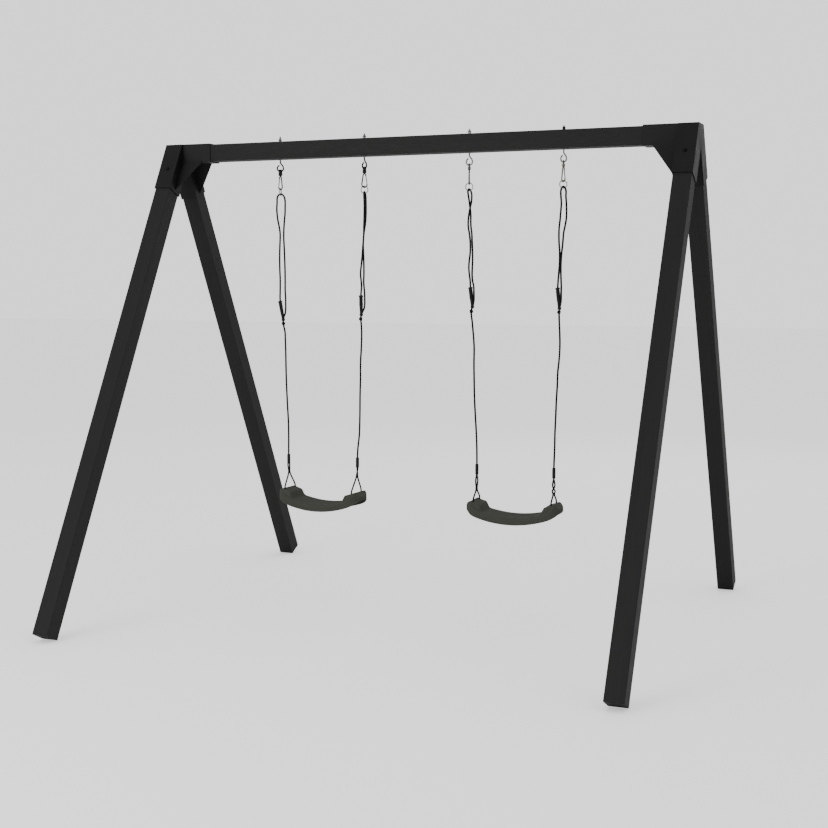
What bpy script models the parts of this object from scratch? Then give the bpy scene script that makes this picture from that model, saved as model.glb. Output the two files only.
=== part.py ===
"""Swing set: a timber A-frame with two moulded seats, each hung on a pair of adjustable ropes.

Run with: blender --background --python part.py
Units are metres, +Z is up and X runs along the beam. The origin is on the ground under the middle
of the beam. Heights in the hanging gear are counted from the top face of the beam.
"""

from math import asin, copysign, cos, pi, radians, sin, sqrt

import bmesh
import bpy
from mathutils import Matrix, Vector

# Timber frame
BEAM_TOP = 2.487
TIMBER = 0.090
ARRIS = 0.003
BEAM_HALF = 1.457
LEG_X = 1.4126
LEG_SPLAY = radians(27.18)
LEG_ROOT_Y = 0.0273
LEG_START = 0.060

# Corner brackets: a beam sleeve and two leg sleeves of welded steel plate
PLATE = 0.0045
TIMBER_GAP = 0.0005
SLEEVE_HALF = TIMBER / 2 + TIMBER_GAP + PLATE
BEAM_SLEEVE_START = 1.192
BRACKET_END = 1.463
LEG_SLEEVE_END = 0.240
GUSSET = 0.005
GUSSET_TOP_X = 1.242
GUSSET_FOOT = 0.230

# Bolts
BOLT_R = 0.005
BOLT_HEAD_R = 0.010
BOLT_HEAD = 0.006
BOLT_REACH = 0.060
LEG_BOLT_AT = 0.121
BEAM_BOLT_X = 1.250

# Swing hooks: a threaded shank through the beam, ending below it in an open curl
HOOK_X = (-0.787, -0.292, 0.292, 0.787)
HOOK_TURN = (20, -25, 0, -17)
HOOK_WIRE = 0.008
HOOK_TOP = (0.030, 0.027, 0.028, 0.025)
HOOK_NECK = -0.106
HOOK_BEND = ((0.10, -0.0045), (0.38, -0.0115), (0.72, -0.0180))
CURL_R = 0.0165
CURL_DROP = -0.138
CURL_FROM = 18
CURL_TO = -246
PIVOT_DROP = CURL_DROP - CURL_R
NUT_ACROSS = 0.013
NUT_HIGH = 0.0100
LOCK_FLANGE_R = 0.0108
LOCK_FLANGE = 0.0025
LOCK_TOP_R = 0.0060
LOCK_HIGH = 0.0200
CAP_R = 0.0080
CAP_HIGH = 0.0180
WASHER_R = 0.010
WASHER = 0.0016

# Swivels: a bow round the hook's wire, with a barrel that holds the snap hook's stem
BOW_R = 0.008
BOW_WIRE = 0.005
BARREL_R = (0.011, 0.011, 0.008, 0.008)
SLEEVE_R = 0.0112
SLEEVE_BORE_R = 0.0086
SLEEVE_LONG = 0.013
BARREL_TOP = -0.163
BARREL_FOOT = -0.177
STEM_R = 0.0035
STEM_DEEP = 0.008

# Snap hooks: a pear-shaped loop, narrow at the top, with a sprung gate down one side
SNAP_WIRE = 0.007
SNAP_TOP_R = 0.0075
SNAP_FOOT_R = 0.0152
SNAP_TOP = -0.188
SNAP_FOOT = -0.2356
SNAP_TURN = (155, 50, 105, -42)
GATE_WIRE = 0.0055
GATE_HINGE = 0.24

# Rings
RING_R = 0.019
RING_WIRE = 0.005
RING_TOP = -0.2441
RING_TURN = (105, 5, 5, 35)

# Ropes. Each one is led up from its adjuster, over its ring, down again through the adjuster's
# eye, and on as a single rope to its ferrule.
ROPE = 0.010
SEAT_CORD = 0.0086
FIT = 0.0003
LOOP_TOP = -0.2738
KNOT_R = 0.0095
FERRULE_R = 0.009
FERRULE_TOP = 0.815
FERRULE_FOOT = 0.758
PITCH_Z = FERRULE_TOP - FERRULE_R
ROPE_END = FERRULE_TOP + FIT - BEAM_TOP

# The loop of each rope, from the ring down: height, sideways place of the middle of its two
# strands, half the gap between them, and the way that they face, in degrees from +X.
LOOPS = (
    (
        (-0.2823, 0.0010, 0.0159, 0), (-0.2943, 0.0020, 0.0222, 0), (-0.318, 0.0030, 0.0243, 0),
        (-0.350, 0.0020, 0.0250, 0), (-0.382, 0.0024, 0.0238, 0), (-0.414, 0.0030, 0.0198, 0),
        (-0.446, 0.0050, 0.0149, 0), (-0.478, 0.0070, 0.0113, 0), (-0.511, 0.0070, 0.0110, 0),
        (-0.543, 0.0070, 0.0120, 4), (-0.607, 0.0075, 0.0143, 6), (-0.671, 0.0087, 0.0150, 6),
        (-0.736, 0.0100, 0.0145, 4), (-0.800, 0.0097, 0.0155, 0), (-0.833, 0.0105, 0.0170, 0),
        (-0.858, 0.0115, 0.0160, 0),
    ),
    (
        (-0.2813, 0.0010, 0.0134, 101), (-0.2914, 0.0020, 0.0187, 101), (-0.330, 0.0039, 0.0200, 101),
        (-0.375, 0.0040, 0.0200, 101), (-0.423, 0.0024, 0.0195, 102), (-0.454, -0.0002, 0.0170, 105),
        (-0.485, -0.0030, 0.0140, 112), (-0.548, -0.0078, 0.0110, 112), (-0.610, -0.0090, 0.0100, 92),
        (-0.650, -0.0105, 0.0100, 75), (-0.704, -0.0129, 0.0100, 52), (-0.740, -0.0117, 0.0098, 72),
        (-0.770, -0.0098, 0.0098, 72), (-0.800, -0.0096, 0.0105, 52), (-0.826, -0.0096, 0.0108, 48),
    ),
    (
        (-0.2813, 0.0010, 0.0134, -98), (-0.2914, 0.0030, 0.0187, -98), (-0.318, 0.0060, 0.0190, -94),
        (-0.345, 0.0068, 0.0188, -83), (-0.372, 0.0052, 0.0178, -68), (-0.402, 0.0045, 0.0160, -52),
        (-0.432, 0.0030, 0.0140, -42), (-0.463, 0.0035, 0.0130, -38), (-0.493, 0.0085, 0.0120, -38),
        (-0.540, 0.0125, 0.0102, -40), (-0.600, 0.0140, 0.0102, -32), (-0.645, 0.0112, 0.0100, -8),
        (-0.675, 0.0102, 0.0100, -10), (-0.705, 0.0112, 0.0100, -25), (-0.738, 0.0150, 0.0100, -32),
        (-0.766, 0.0190, 0.0105, -15), (-0.782, 0.0198, 0.0105, -15),
    ),
    (
        (-0.2816, 0.0000, 0.0141, -36), (-0.2922, 0.0010, 0.0197, -36), (-0.322, 0.0015, 0.0200, -36),
        (-0.352, 0.0040, 0.0200, -36), (-0.381, 0.0040, 0.0195, -30), (-0.411, 0.0030, 0.0190, -22),
        (-0.440, 0.0010, 0.0180, -17), (-0.470, -0.0035, 0.0160, -12), (-0.500, -0.0072, 0.0130, -10),
        (-0.530, -0.0082, 0.0115, -10), (-0.558, -0.0085, 0.0103, -15), (-0.588, -0.0088, 0.0100, -38),
        (-0.647, -0.0107, 0.0100, -52), (-0.700, -0.0122, 0.0102, -42), (-0.740, -0.0130, 0.0105, -28),
        (-0.766, -0.0130, 0.0108, -20), (-0.784, -0.0130, 0.0108, -20),
    ),
)

# The rest of each rope, from its loop down: through the adjuster's eye and the stopper knot to the
# ferrule. Places are from the hook's axis. The eye and the knot are the points of these numbers.
RUNS = (
    (
        (0.0278, 0, -0.885), (0.0245, 0, -0.912), (0.0170, 0, -0.931), (0.0125, 0, -0.946),
        (0.0125, 0, -0.967), (0.0160, 0, -0.984), (0.0210, 0, -1.003), (0.0245, 0, -1.060),
        (0.0265, 0, -1.130), (0.0280, 0, -1.230), (0.0310, 0, -1.320), (0.0360, 0, -1.420),
        (0.0405, 0, -1.500), (0.0418, 0, -1.580), (0.0415, 0, -1.640), (0.0415, 0, ROPE_END),
    ),
    (
        (-0.0020, 0.0085, -0.855), (-0.0045, 0.0070, -0.880), (-0.0120, 0.0030, -0.900),
        (-0.0185, 0, -0.915), (-0.0210, 0, -0.938), (-0.0195, 0, -0.957), (-0.0170, 0, -0.990),
        (-0.0165, 0, -1.040), (-0.0190, 0, -1.100), (-0.0230, 0, -1.170), (-0.0235, 0, -1.250),
        (-0.0260, 0, -1.350), (-0.0270, 0, -1.450), (-0.0310, 0, -1.560), (-0.0390, 0, -1.630),
        (-0.0415, 0, ROPE_END),
    ),
    (
        (0.0305, -0.0020, -0.810), (0.0300, -0.0010, -0.836), (0.0268, 0, -0.854),
        (0.0215, 0, -0.869), (0.0150, 0, -0.893), (0.0162, 0, -0.912), (0.0205, 0, -0.942),
        (0.0245, 0, -0.980), (0.0295, 0, -1.030), (0.0325, 0, -1.080), (0.0320, 0, -1.150),
        (0.0335, 0, -1.240), (0.0365, 0, -1.340), (0.0410, 0, -1.420), (0.0465, 0, -1.500),
        (0.0508, 0, -1.590), (0.0520, 0, ROPE_END),
    ),
    (
        (-0.0030, -0.0035, -0.812), (-0.0035, -0.0030, -0.838), (-0.0075, -0.0010, -0.858),
        (-0.0125, 0, -0.874), (-0.0135, 0, -0.893), (-0.0133, 0, -0.914), (-0.0120, 0, -0.945),
        (-0.0100, 0, -0.980), (-0.0078, 0, -1.030), (-0.0078, 0, -1.080), (-0.0115, 0, -1.140),
        (-0.0165, 0, -1.190), (-0.0185, 0, -1.260), (-0.0225, 0, -1.340), (-0.0245, 0, -1.410),
        (-0.0275, 0, -1.490), (-0.0285, 0, -1.580), (-0.0305, 0, -1.645), (-0.0310, 0, ROPE_END),
    ),
)
EYE_POINT = 3
KNOT_POINT = 4

# Adjusters: a moulded grip on the tail of each rope, with an eye that the standing part runs through
GRIP_COLLAR_R = 0.0120
GRIP_R = 0.0100
GRIP_NECK_R = 0.0085
GRIP_FOOT_R = 0.0080
GRIP_RIBS = 3
GRIP_RIB = 0.0010
EYE_R = 0.0095
EYE_HIGH = 0.014
ROPE_BORE_R = 0.0058
TAIL_DEEP = 0.012

# Seats: one moulded shell each, curved up to a raised block at either end
SWING_X = (-0.5395, 0.5395)
SEAT_X = (-0.5395, 0.5500)
SEAT_TURN = (-3, 3)
SEAT_HALF = 0.2360
SEAT_DEEP = 0.0815
SEAT_ROUND = (0.14, 0.075)
SEAT_Z = 0.557
SEAT_CURVE = 0.86
SEAT_WALL = 0.004
SEAT_ROLL = 0.0110
SKIRT = 0.038
SKIRT_RISE = 0.022
SKIRT_RISE_FROM = 0.180
BLOCK_HIGH = 0.032
BLOCK_RISE = (0.147, 0.171)
BLOCK_FALL = (0.214, 0.242)
BLOCK_SIDE = (0.066, 0.081)
SEAT_MIDDLE_COLUMNS = 8
SEAT_BLOCK_COLUMNS = 7
SEAT_BLOCK_FROM = 0.55
SEAT_ROWS = (0.0, 0.3, 0.6, 0.79, 0.87, 0.94, 1.0)
ROPE_HOLE_R = 0.0060
ROPE_HOLE = (0.204, 0.056)
HOLE_Z = 0.628

# The two strands from each ferrule to its seat: height above the ground, half the gap between
# them, and the way that the front one faces, in degrees from +X.
STRANDS = (
    (
        (FERRULE_FOOT - FIT, 0.0049, -150), (0.738, 0.0050, -120), (0.720, 0.0052, -90),
        (0.706, 0.0090, -90), (0.690, 0.0188, -90), (0.672, 0.0318, -90), (0.655, 0.0436, -90),
        (0.642, 0.0515, -90), (0.633, 0.0551, -90), (0.622, 0.0560, -90), (0.613, 0.0560, -90),
    ),
    (
        (FERRULE_FOOT - FIT, 0.0049, -40), (0.738, 0.0050, -65), (0.720, 0.0052, -90),
        (0.706, 0.0090, -90), (0.690, 0.0188, -90), (0.672, 0.0318, -90), (0.655, 0.0436, -90),
        (0.642, 0.0515, -90), (0.633, 0.0551, -90), (0.622, 0.0560, -90), (0.613, 0.0560, -90),
    ),
    (
        (FERRULE_FOOT - FIT, 0.0049, -230), (0.735, 0.0050, -180), (0.710, 0.0053, -130),
        (0.690, 0.0057, -95), (0.677, 0.0103, -90), (0.665, 0.0215, -90), (0.654, 0.0363, -90),
        (0.644, 0.0484, -90), (0.634, 0.0549, -90), (0.622, 0.0560, -90), (0.613, 0.0560, -90),
    ),
    (
        (FERRULE_FOOT - FIT, 0.0049, -430), (0.738, 0.0050, -380), (0.720, 0.0057, -330),
        (0.706, 0.0075, -260), (0.692, 0.0071, -160), (0.680, 0.0080, -100), (0.667, 0.0197, -90),
        (0.655, 0.0359, -90), (0.644, 0.0484, -90), (0.634, 0.0549, -90), (0.622, 0.0560, -90),
        (0.613, 0.0560, -90),
    ),
)
SEAT_KNOT_Z = 0.6090

RAW = {"parts": None, "tools": None}


# Building blocks


def clear_scene():
    for obj in list(bpy.data.objects):
        bpy.data.objects.remove(obj, do_unlink=True)
    for name in RAW:
        label = "swing_set" if name == "parts" else "swing_set_tools"
        RAW[name] = bpy.data.collections.new(label)
        bpy.context.scene.collection.children.link(RAW[name])


def material(name, color, roughness, metallic=0.0):
    mat = bpy.data.materials.new(name)
    mat.use_nodes = True
    bsdf = mat.node_tree.nodes["Principled BSDF"]
    bsdf.inputs["Base Color"].default_value = (*color, 1.0)
    bsdf.inputs["Roughness"].default_value = roughness
    bsdf.inputs["Metallic"].default_value = metallic
    mat.diffuse_color = (*color, 1.0)
    return mat


def tool(data, name="tool"):
    """A helper object, which later becomes part of a piece or cuts one."""
    obj = bpy.data.objects.new(name, data)
    obj.hide_render = True
    obj.display_type = "WIRE"
    RAW["tools"].objects.link(obj)
    return obj


def mesh_tool(bm):
    mesh = bpy.data.meshes.new("tool")
    bmesh.ops.recalc_face_normals(bm, faces=bm.faces)
    bm.to_mesh(mesh)
    bm.free()
    return tool(mesh)


def box(low, high, bevel=0.0, matrix=None):
    bm = bmesh.new()
    low, high = Vector(low), Vector(high)
    size = high - low
    place = Matrix.Translation((low + high) / 2) @ Matrix.Diagonal((*size, 1))
    bmesh.ops.create_cube(bm, size=1, matrix=place)
    if bevel:
        bmesh.ops.bevel(bm, geom=bm.edges[:], offset=bevel, segments=1, affect="EDGES")
    if matrix:
        bm.transform(matrix)
    return mesh_tool(bm)


def along(start, end):
    """The matrix that takes a unit on +Z at the origin onto the line from start to end."""
    start, end = Vector(start), Vector(end)
    turn = (end - start).to_track_quat("Z", "Y").to_matrix().to_4x4()
    return Matrix.Translation(start) @ turn


def cylinder(start, end, radius, sides=16):
    bm = bmesh.new()
    start, end = Vector(start), Vector(end)
    length = (end - start).length
    place = along(start, end) @ Matrix.Translation((0, 0, length / 2))
    bmesh.ops.create_cone(
        bm, cap_ends=True, segments=sides, radius1=radius, radius2=radius, depth=length, matrix=place
    )
    return mesh_tool(bm)


def ball(centre, radius):
    bm = bmesh.new()
    place = Matrix.Translation(Vector(centre))
    bmesh.ops.create_uvsphere(bm, u_segments=10, v_segments=6, radius=radius, matrix=place)
    return mesh_tool(bm)


def smooth(points, steps):
    """Points along a smooth curve through the given ones, steps to each stretch."""
    points = [Vector(p) for p in points]
    chord = [(b - a).length for a, b in zip(points, points[1:])]
    slope = [(b - a) / c for a, b, c in zip(points, points[1:], chord)]
    lean = [slope[0]]
    for i in range(1, len(slope)):
        total = chord[i - 1] + chord[i]
        lean.append((slope[i - 1] * chord[i] + slope[i] * chord[i - 1]) / total)
    lean.append(slope[-1])
    line = []
    for i, length in enumerate(chord):
        for k in range(steps):
            t = k / steps
            line.append(
                points[i] * (1 - t) ** 2 * (1 + 2 * t)
                + points[i + 1] * t * t * (3 - 2 * t)
                + lean[i] * length * t * (1 - t) ** 2
                - lean[i + 1] * length * t * t * (1 - t)
            )
    line.append(points[-1])
    return line


def thin(line, slack):
    """The same line with only the points that it needs to stay within the slack."""
    kept = [line[0]]
    last = 0
    for i in range(2, len(line)):
        chord = (line[i] - line[last]).normalized()
        off = max((p - line[last] - chord * (p - line[last]).dot(chord)).length
                  for p in line[last + 1:i])
        if off > slack or (line[i] - line[last]).length > 0.15:
            last = i - 1
            kept.append(line[last])
    return kept + [line[-1]]


def tube(points, radius, closed=False):
    """A round wire through the points, as a curve."""
    curve = bpy.data.curves.new("tube", "CURVE")
    curve.dimensions = "3D"
    curve.bevel_depth = radius
    curve.bevel_resolution = 2
    curve.use_fill_caps = True
    spline = curve.splines.new("POLY")
    spline.points.add(len(points) - 1)
    for point, place in zip(spline.points, points):
        point.co = (*place, 1)
    spline.use_cyclic_u = closed
    return tool(curve)


def plate(outline, thickness, matrix):
    """A flat plate of the outline's shape, half its thickness each side of the outline's plane."""
    curve = bpy.data.curves.new("plate", "CURVE")
    curve.dimensions = "2D"
    curve.fill_mode = "BOTH"
    curve.extrude = thickness / 2
    spline = curve.splines.new("POLY")
    spline.points.add(len(outline) - 1)
    for point, (x, y) in zip(spline.points, outline):
        point.co = (x, y, 0, 1)
    spline.use_cyclic_u = True
    obj = tool(curve)
    obj.matrix_world = matrix
    return as_mesh(obj)


def turned(profile, steps, matrix):
    """A solid of revolution about +Z. The profile runs from the top to the bottom at +X."""
    mesh = bpy.data.meshes.new("turned")
    points = [(r, 0, z) for r, z in profile]
    mesh.from_pydata(points, [(i, i + 1) for i in range(len(points) - 1)], [])
    obj = tool(mesh)
    screw = obj.modifiers.new("turn", "SCREW")
    screw.steps = steps
    screw.render_steps = steps
    screw.use_merge_vertices = True
    screw.merge_threshold = 0.00005
    obj.matrix_world = matrix
    return as_mesh(obj)


def as_mesh(obj):
    """The object's shape with its modifiers applied, as a mesh object that replaces it."""
    bpy.context.view_layer.update()
    graph = bpy.context.evaluated_depsgraph_get()
    mesh = bpy.data.meshes.new_from_object(obj.evaluated_get(graph))
    mesh.transform(obj.matrix_world)
    bm = bmesh.new()
    bm.from_mesh(mesh)
    bmesh.ops.remove_doubles(bm, verts=bm.verts, dist=1e-6)
    bmesh.ops.dissolve_degenerate(bm, edges=bm.edges, dist=1e-6)
    bm.to_mesh(mesh)
    bm.free()
    bpy.data.objects.remove(obj, do_unlink=True)
    return tool(mesh)


def combine(obj, others, operation):
    """Joins or cuts the object with the others, which are used up."""
    for other in others:
        if other.type == "CURVE":
            other = as_mesh(other)
        step = obj.modifiers.new("combine", "BOOLEAN")
        step.operation = operation
        step.solver = "EXACT"
        step.object = other
        obj = as_mesh(obj)
        bpy.data.objects.remove(other, do_unlink=True)
    return obj


def join(obj, *others):
    return combine(obj, others, "UNION")


def cut(obj, *others):
    return combine(obj, others, "DIFFERENCE")


def piece(obj, name, mat, origin, parent=None, smooth_angle=40):
    """Makes the helper a named part, with its origin at the given place."""
    if obj.type == "CURVE":
        obj = as_mesh(obj)
    RAW["tools"].objects.unlink(obj)
    RAW["parts"].objects.link(obj)
    obj.name = name
    obj.data.name = name
    obj.hide_render = False
    obj.display_type = "TEXTURED"
    origin = Vector(origin)
    obj.data.transform(Matrix.Translation(-origin))
    obj.data.shade_smooth()
    obj.data.set_sharp_from_angle(angle=radians(smooth_angle))
    obj.data.materials.clear()
    obj.data.materials.append(mat)
    if parent:
        obj.parent = parent
        origin = origin - parent.matrix_world.translation
    obj.location = origin
    return obj


def pivot(name, place, parent=None):
    obj = bpy.data.objects.new(name, None)
    obj.empty_display_size = 0.05
    RAW["parts"].objects.link(obj)
    if parent:
        obj.parent = parent
        place = Vector(place) - parent.matrix_world.translation
    obj.location = place
    bpy.context.view_layer.update()
    return obj


# Frame


def leg_matrix(side, front):
    """Puts a leg's own frame in place: X as it is, Y away from the ridge, and -Z down the leg."""
    turn = Matrix.Rotation(LEG_SPLAY, 4, "X")
    flip = Matrix.Rotation(pi, 4, "Z") if front else Matrix.Identity(4)
    root = (side * LEG_X, 0, BEAM_TOP - TIMBER / 2)
    return Matrix.Translation(root) @ flip @ Matrix.Translation((0, LEG_ROOT_Y, 0)) @ turn


def leg_end():
    """How far down its axis a leg's square end is, for its lower edge to stand on the ground."""
    drop = BEAM_TOP - TIMBER / 2 - (TIMBER / 2 - ARRIS) * sin(LEG_SPLAY)
    return drop / cos(LEG_SPLAY)


def screw_bolt(place):
    """A domed bolt on the plane z = 0 of its own frame, with its shank down -Z."""
    dome = [(BOLT_HEAD_R * sin(a), BOLT_HEAD * cos(a)) for a in (radians(25 * i) for i in range(4))]
    foot = [
        (BOLT_HEAD_R, FIT), (BOLT_R, FIT), (BOLT_R, -BOLT_REACH + 0.002), (BOLT_R - 0.002, -BOLT_REACH),
        (0, -BOLT_REACH),
    ]
    return turned(dome + foot, 12, place)


def leg_bolt_place(matrix):
    face = Matrix.Translation((0, SLEEVE_HALF, -LEG_BOLT_AT))
    return matrix @ face @ Matrix.Rotation(radians(-90), 4, "X")


def beam_bolt_place(side):
    face = Matrix.Translation((side * BEAM_BOLT_X, SLEEVE_HALF, BEAM_TOP - TIMBER / 2))
    return face @ Matrix.Rotation(radians(-90), 4, "X")


def bolt_bore(place):
    return cylinder(
        place @ Vector((0, 0, 0.01)), place @ Vector((0, 0, -BOLT_REACH - 0.002)), BOLT_R + 0.0006
    )


def make_beam(wood):
    half = TIMBER / 2
    beam = box(
        (-BEAM_HALF, -half, BEAM_TOP - TIMBER), (BEAM_HALF, half, BEAM_TOP), ARRIS
    )
    bores = [
        cylinder((x, 0, BEAM_TOP - 0.1), (x, 0, BEAM_TOP + 0.01), HOOK_WIRE / 2 + 0.0007)
        for x in HOOK_X
    ]
    bores += [bolt_bore(beam_bolt_place(side)) for side in (-1, 1)]
    piece(cut(beam, *bores), "top_beam", wood, (0, 0, BEAM_TOP - half))


def make_leg(side, front, wood):
    half = TIMBER / 2
    matrix = leg_matrix(side, front)
    leg = box((-half, -half, -leg_end()), (half, half, -LEG_START), ARRIS, matrix)
    leg = cut(leg, bolt_bore(leg_bolt_place(matrix)))
    name = f"leg_{'front' if front else 'rear'}_{'left' if side < 0 else 'right'}"
    piece(leg, name, wood, matrix.translation)


def make_bracket(side, steel):
    low, high = BEAM_TOP - TIMBER / 2 - SLEEVE_HALF, BEAM_TOP - TIMBER / 2 + SLEEVE_HALF
    inner = TIMBER / 2 + TIMBER_GAP
    ends = sorted((side * BEAM_SLEEVE_START, side * BRACKET_END))
    bracket = box((ends[0], -SLEEVE_HALF, low), (ends[1], SLEEVE_HALF, high))
    hollows = []
    for front in (True, False):
        matrix = leg_matrix(side, front)
        leg_side = -side if front else side
        reach = -LEG_SLEEVE_END
        sleeve = box((-SLEEVE_HALF, -SLEEVE_HALF, reach), (SLEEVE_HALF, SLEEVE_HALF, 0.035), 0, matrix)
        over = box((-2, -1, high), (2, 1, high + 0.2))
        corner = leg_side * (SLEEVE_HALF - 0.002)
        top_x = leg_side * (LEG_X - GUSSET_TOP_X)
        outline = [
            (-top_x, -0.0562), (-corner, -GUSSET_FOOT), (-corner, -0.035), (-top_x, -0.035),
        ]
        stand = matrix @ Matrix.Rotation(radians(90), 4, "X")
        gusset = plate(outline, GUSSET, stand)
        bracket = join(bracket, cut(sleeve, over), gusset)
        hollows.append(
            box((-inner, -inner, reach - 0.1), (inner, inner, 0.004 - LEG_START), 0, matrix)
        )
        hollows.append(bolt_bore(leg_bolt_place(matrix)))
    bore = sorted((side * (BEAM_SLEEVE_START - 0.01), side * (BRACKET_END - PLATE)))
    middle = BEAM_TOP - TIMBER / 2
    hollows.append(box((bore[0], -inner, middle - inner), (bore[1], inner, middle + inner)))
    hollows.append(bolt_bore(beam_bolt_place(side)))
    name = f"corner_bracket_{'left' if side < 0 else 'right'}"
    piece(cut(bracket, *hollows), name, steel, (side * LEG_X, 0, middle), smooth_angle=20)


def make_bolts(side, steel):
    end = "left" if side < 0 else "right"
    for front in (True, False):
        place = leg_bolt_place(leg_matrix(side, front))
        name = f"leg_bolt_{'front' if front else 'rear'}_{end}"
        piece(screw_bolt(place), name, steel, place.translation)
    place = beam_bolt_place(side)
    piece(screw_bolt(place), f"beam_bolt_{end}", steel, place.translation)


# Hanging gear


def hook_line(top):
    """The middle of a hook's wire: down the shank, then round the open curl."""
    neck = [(0, 0, top), (0, 0, -TIMBER), (0, 0, HOOK_NECK)]
    curl = []
    for i in range(15):
        angle = radians(CURL_FROM + (CURL_TO - CURL_FROM) * i / 14)
        curl.append((CURL_R * cos(angle), 0, CURL_DROP + CURL_R * sin(angle)))
    return neck + [(CURL_R * across, 0, HOOK_NECK + down) for across, down in HOOK_BEND] + curl


def make_hook(number, x, turn, steel):
    place = Matrix.Translation((x, 0, BEAM_TOP)) @ Matrix.Rotation(radians(turn), 4, "Z")
    points = [place @ Vector(p) for p in hook_line(HOOK_TOP[number - 1])]
    hook = tube(points, HOOK_WIRE / 2)
    piece(hook, f"swing_hook_{number}", steel, place.translation)


def lock_profile():
    """The side of a nut with a washer, and of the flanged lock nut above it."""
    flange_top = NUT_HIGH + LOCK_FLANGE
    return [
        (0, LOCK_HIGH), (LOCK_TOP_R, LOCK_HIGH), (LOCK_TOP_R + 0.0024, flange_top),
        (LOCK_FLANGE_R, flange_top), (LOCK_FLANGE_R, NUT_HIGH), (0, NUT_HIGH),
    ]


def cap_profile():
    shoulder = 0.0022
    return [
        (0, CAP_HIGH), (CAP_R - shoulder, CAP_HIGH), (CAP_R, CAP_HIGH - shoulder),
        (CAP_R, WASHER - 0.0002), (0, WASHER - 0.0002),
    ]


def make_nut(number, x, steel):
    """A washer under a nut and its lock nut, or on the last hook under a round cap."""
    foot = BEAM_TOP + FIT
    at = Matrix.Translation((x, 0, foot))
    washer = cylinder((x, 0, foot), (x, 0, foot + WASHER), WASHER_R, 20)
    if number == 4:
        parts = [turned(cap_profile(), 16, at)]
    else:
        low, high = (x, 0, foot + WASHER - 0.0002), (x, 0, foot + NUT_HIGH + 0.0002)
        parts = [cylinder(low, high, NUT_ACROSS / sqrt(3), 6), turned(lock_profile(), 16, at)]
    bore = cylinder((x, 0, foot - 0.01), (x, 0, foot + 0.04), HOOK_WIRE / 2 + 0.0005)
    piece(cut(join(washer, *parts), bore), f"hook_nut_{number}", steel, (x, 0, foot))


def torus(centre, major, minor, turn, sides=18):
    """A ring in an upright plane whose level direction is at the turn, in degrees from +X."""
    line = []
    for i in range(sides):
        a = 2 * pi * i / sides
        line.append(Vector((major * cos(a), 0, major * sin(a))))
    place = Matrix.Translation(centre) @ Matrix.Rotation(radians(turn), 4, "Z")
    return tube([place @ p for p in line], minor, closed=True)


def make_swivel(number, x, steel, parent):
    """A barrel under a bow round the hook's wire, or on the left-hand swing under a wide sleeve."""
    centre = Vector((x, 0, BEAM_TOP + PIVOT_DROP))
    radius = BARREL_R[number - 1]
    half = Vector((SLEEVE_LONG / 2, 0, 0))
    cutters = []
    if number <= 2:
        bow = cylinder(centre - half, centre + half, SLEEVE_R, 20)
        cutters.append(cylinder(centre - half * 2, centre + half * 2, SLEEVE_BORE_R, 20))
    else:
        bow = as_mesh(torus(centre, BOW_R, BOW_WIRE / 2, 90, sides=12))
    top, foot = BEAM_TOP + BARREL_TOP, BEAM_TOP + BARREL_FOOT
    edge = 0.0015
    profile = [
        (0, top), (radius - edge, top), (radius, top - edge), (radius, foot), (0, foot),
    ]
    barrel = turned(profile, 12, Matrix.Translation((x, 0, 0)))
    stem_top = (x, 0, foot + STEM_DEEP + 0.0005)
    cutters.append(cylinder((x, 0, foot - 0.01), stem_top, STEM_R + 0.0004, 10))
    piece(cut(join(barrel, bow), *cutters), f"swivel_{number}", steel, centre, parent)


def snap_frame(x, turn):
    """The snap hook's own frame: X across its loop, Z up, at the height of the beam's top."""
    return Matrix.Translation((x, 0, BEAM_TOP)) @ Matrix.Rotation(radians(turn), 4, "Z")


def snap_side():
    """Where the straight side of the loop meets its top and its foot, on the gate's side."""
    lean = asin((SNAP_FOOT_R - SNAP_TOP_R) / (SNAP_TOP - SNAP_FOOT))
    out = Vector((cos(lean), 0, sin(lean)))
    return Vector((0, 0, SNAP_TOP)) + out * SNAP_TOP_R, Vector((0, 0, SNAP_FOOT)) + out * SNAP_FOOT_R, lean


def gate_ends():
    top, foot, _ = snap_side()
    return top.lerp(foot, GATE_HINGE), foot


def make_snap(number, x, turn, steel, parent):
    frame = snap_frame(x, turn)
    top, _, lean = snap_side()
    hinge = gate_ends()[0]
    line = []
    for i in range(10):
        a = lean + (-pi - 2 * lean) * i / 9
        line.append(Vector((SNAP_FOOT_R * cos(a), 0, SNAP_FOOT + SNAP_FOOT_R * sin(a))))
    for i in range(7):
        a = pi - lean - (pi - 2 * lean) * i / 6
        line.append(Vector((SNAP_TOP_R * cos(a), 0, SNAP_TOP + SNAP_TOP_R * sin(a))))
    reach = (hinge - top).length - GATE_WIRE / 2 - 0.0005
    line.append(top + (hinge - top).normalized() * reach)
    body = as_mesh(tube([frame @ p for p in line], SNAP_WIRE / 2))
    stem_top = frame @ Vector((0, 0, BARREL_FOOT + STEM_DEEP))
    stem = cylinder(frame @ Vector((0, 0, SNAP_TOP + SNAP_TOP_R)), stem_top, STEM_R, 10)
    piece(join(body, stem), f"snap_hook_{number}", steel, stem_top, parent)


def make_gate(number, x, turn, steel, parent):
    frame = snap_frame(x, turn)
    hinge, nose = (frame @ p for p in gate_ends())
    length = (nose - hinge).length - 0.0011
    r = GATE_WIRE / 2
    dome = [(r * sin(a), r * cos(a)) for a in (radians(30 * i) for i in range(4))]
    profile = dome + [(r, -length), (0, -length)]
    gate = turned(profile, 10, along(hinge, hinge * 2 - nose))
    piece(gate, f"snap_gate_{number}", steel, hinge, parent)


def make_ring(number, x, turn, steel, parent):
    centre = (x, 0, BEAM_TOP + RING_TOP - RING_R)
    piece(torus(centre, RING_R, RING_WIRE / 2, turn), f"ring_{number}", steel, centre, parent)


# Ropes


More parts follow.
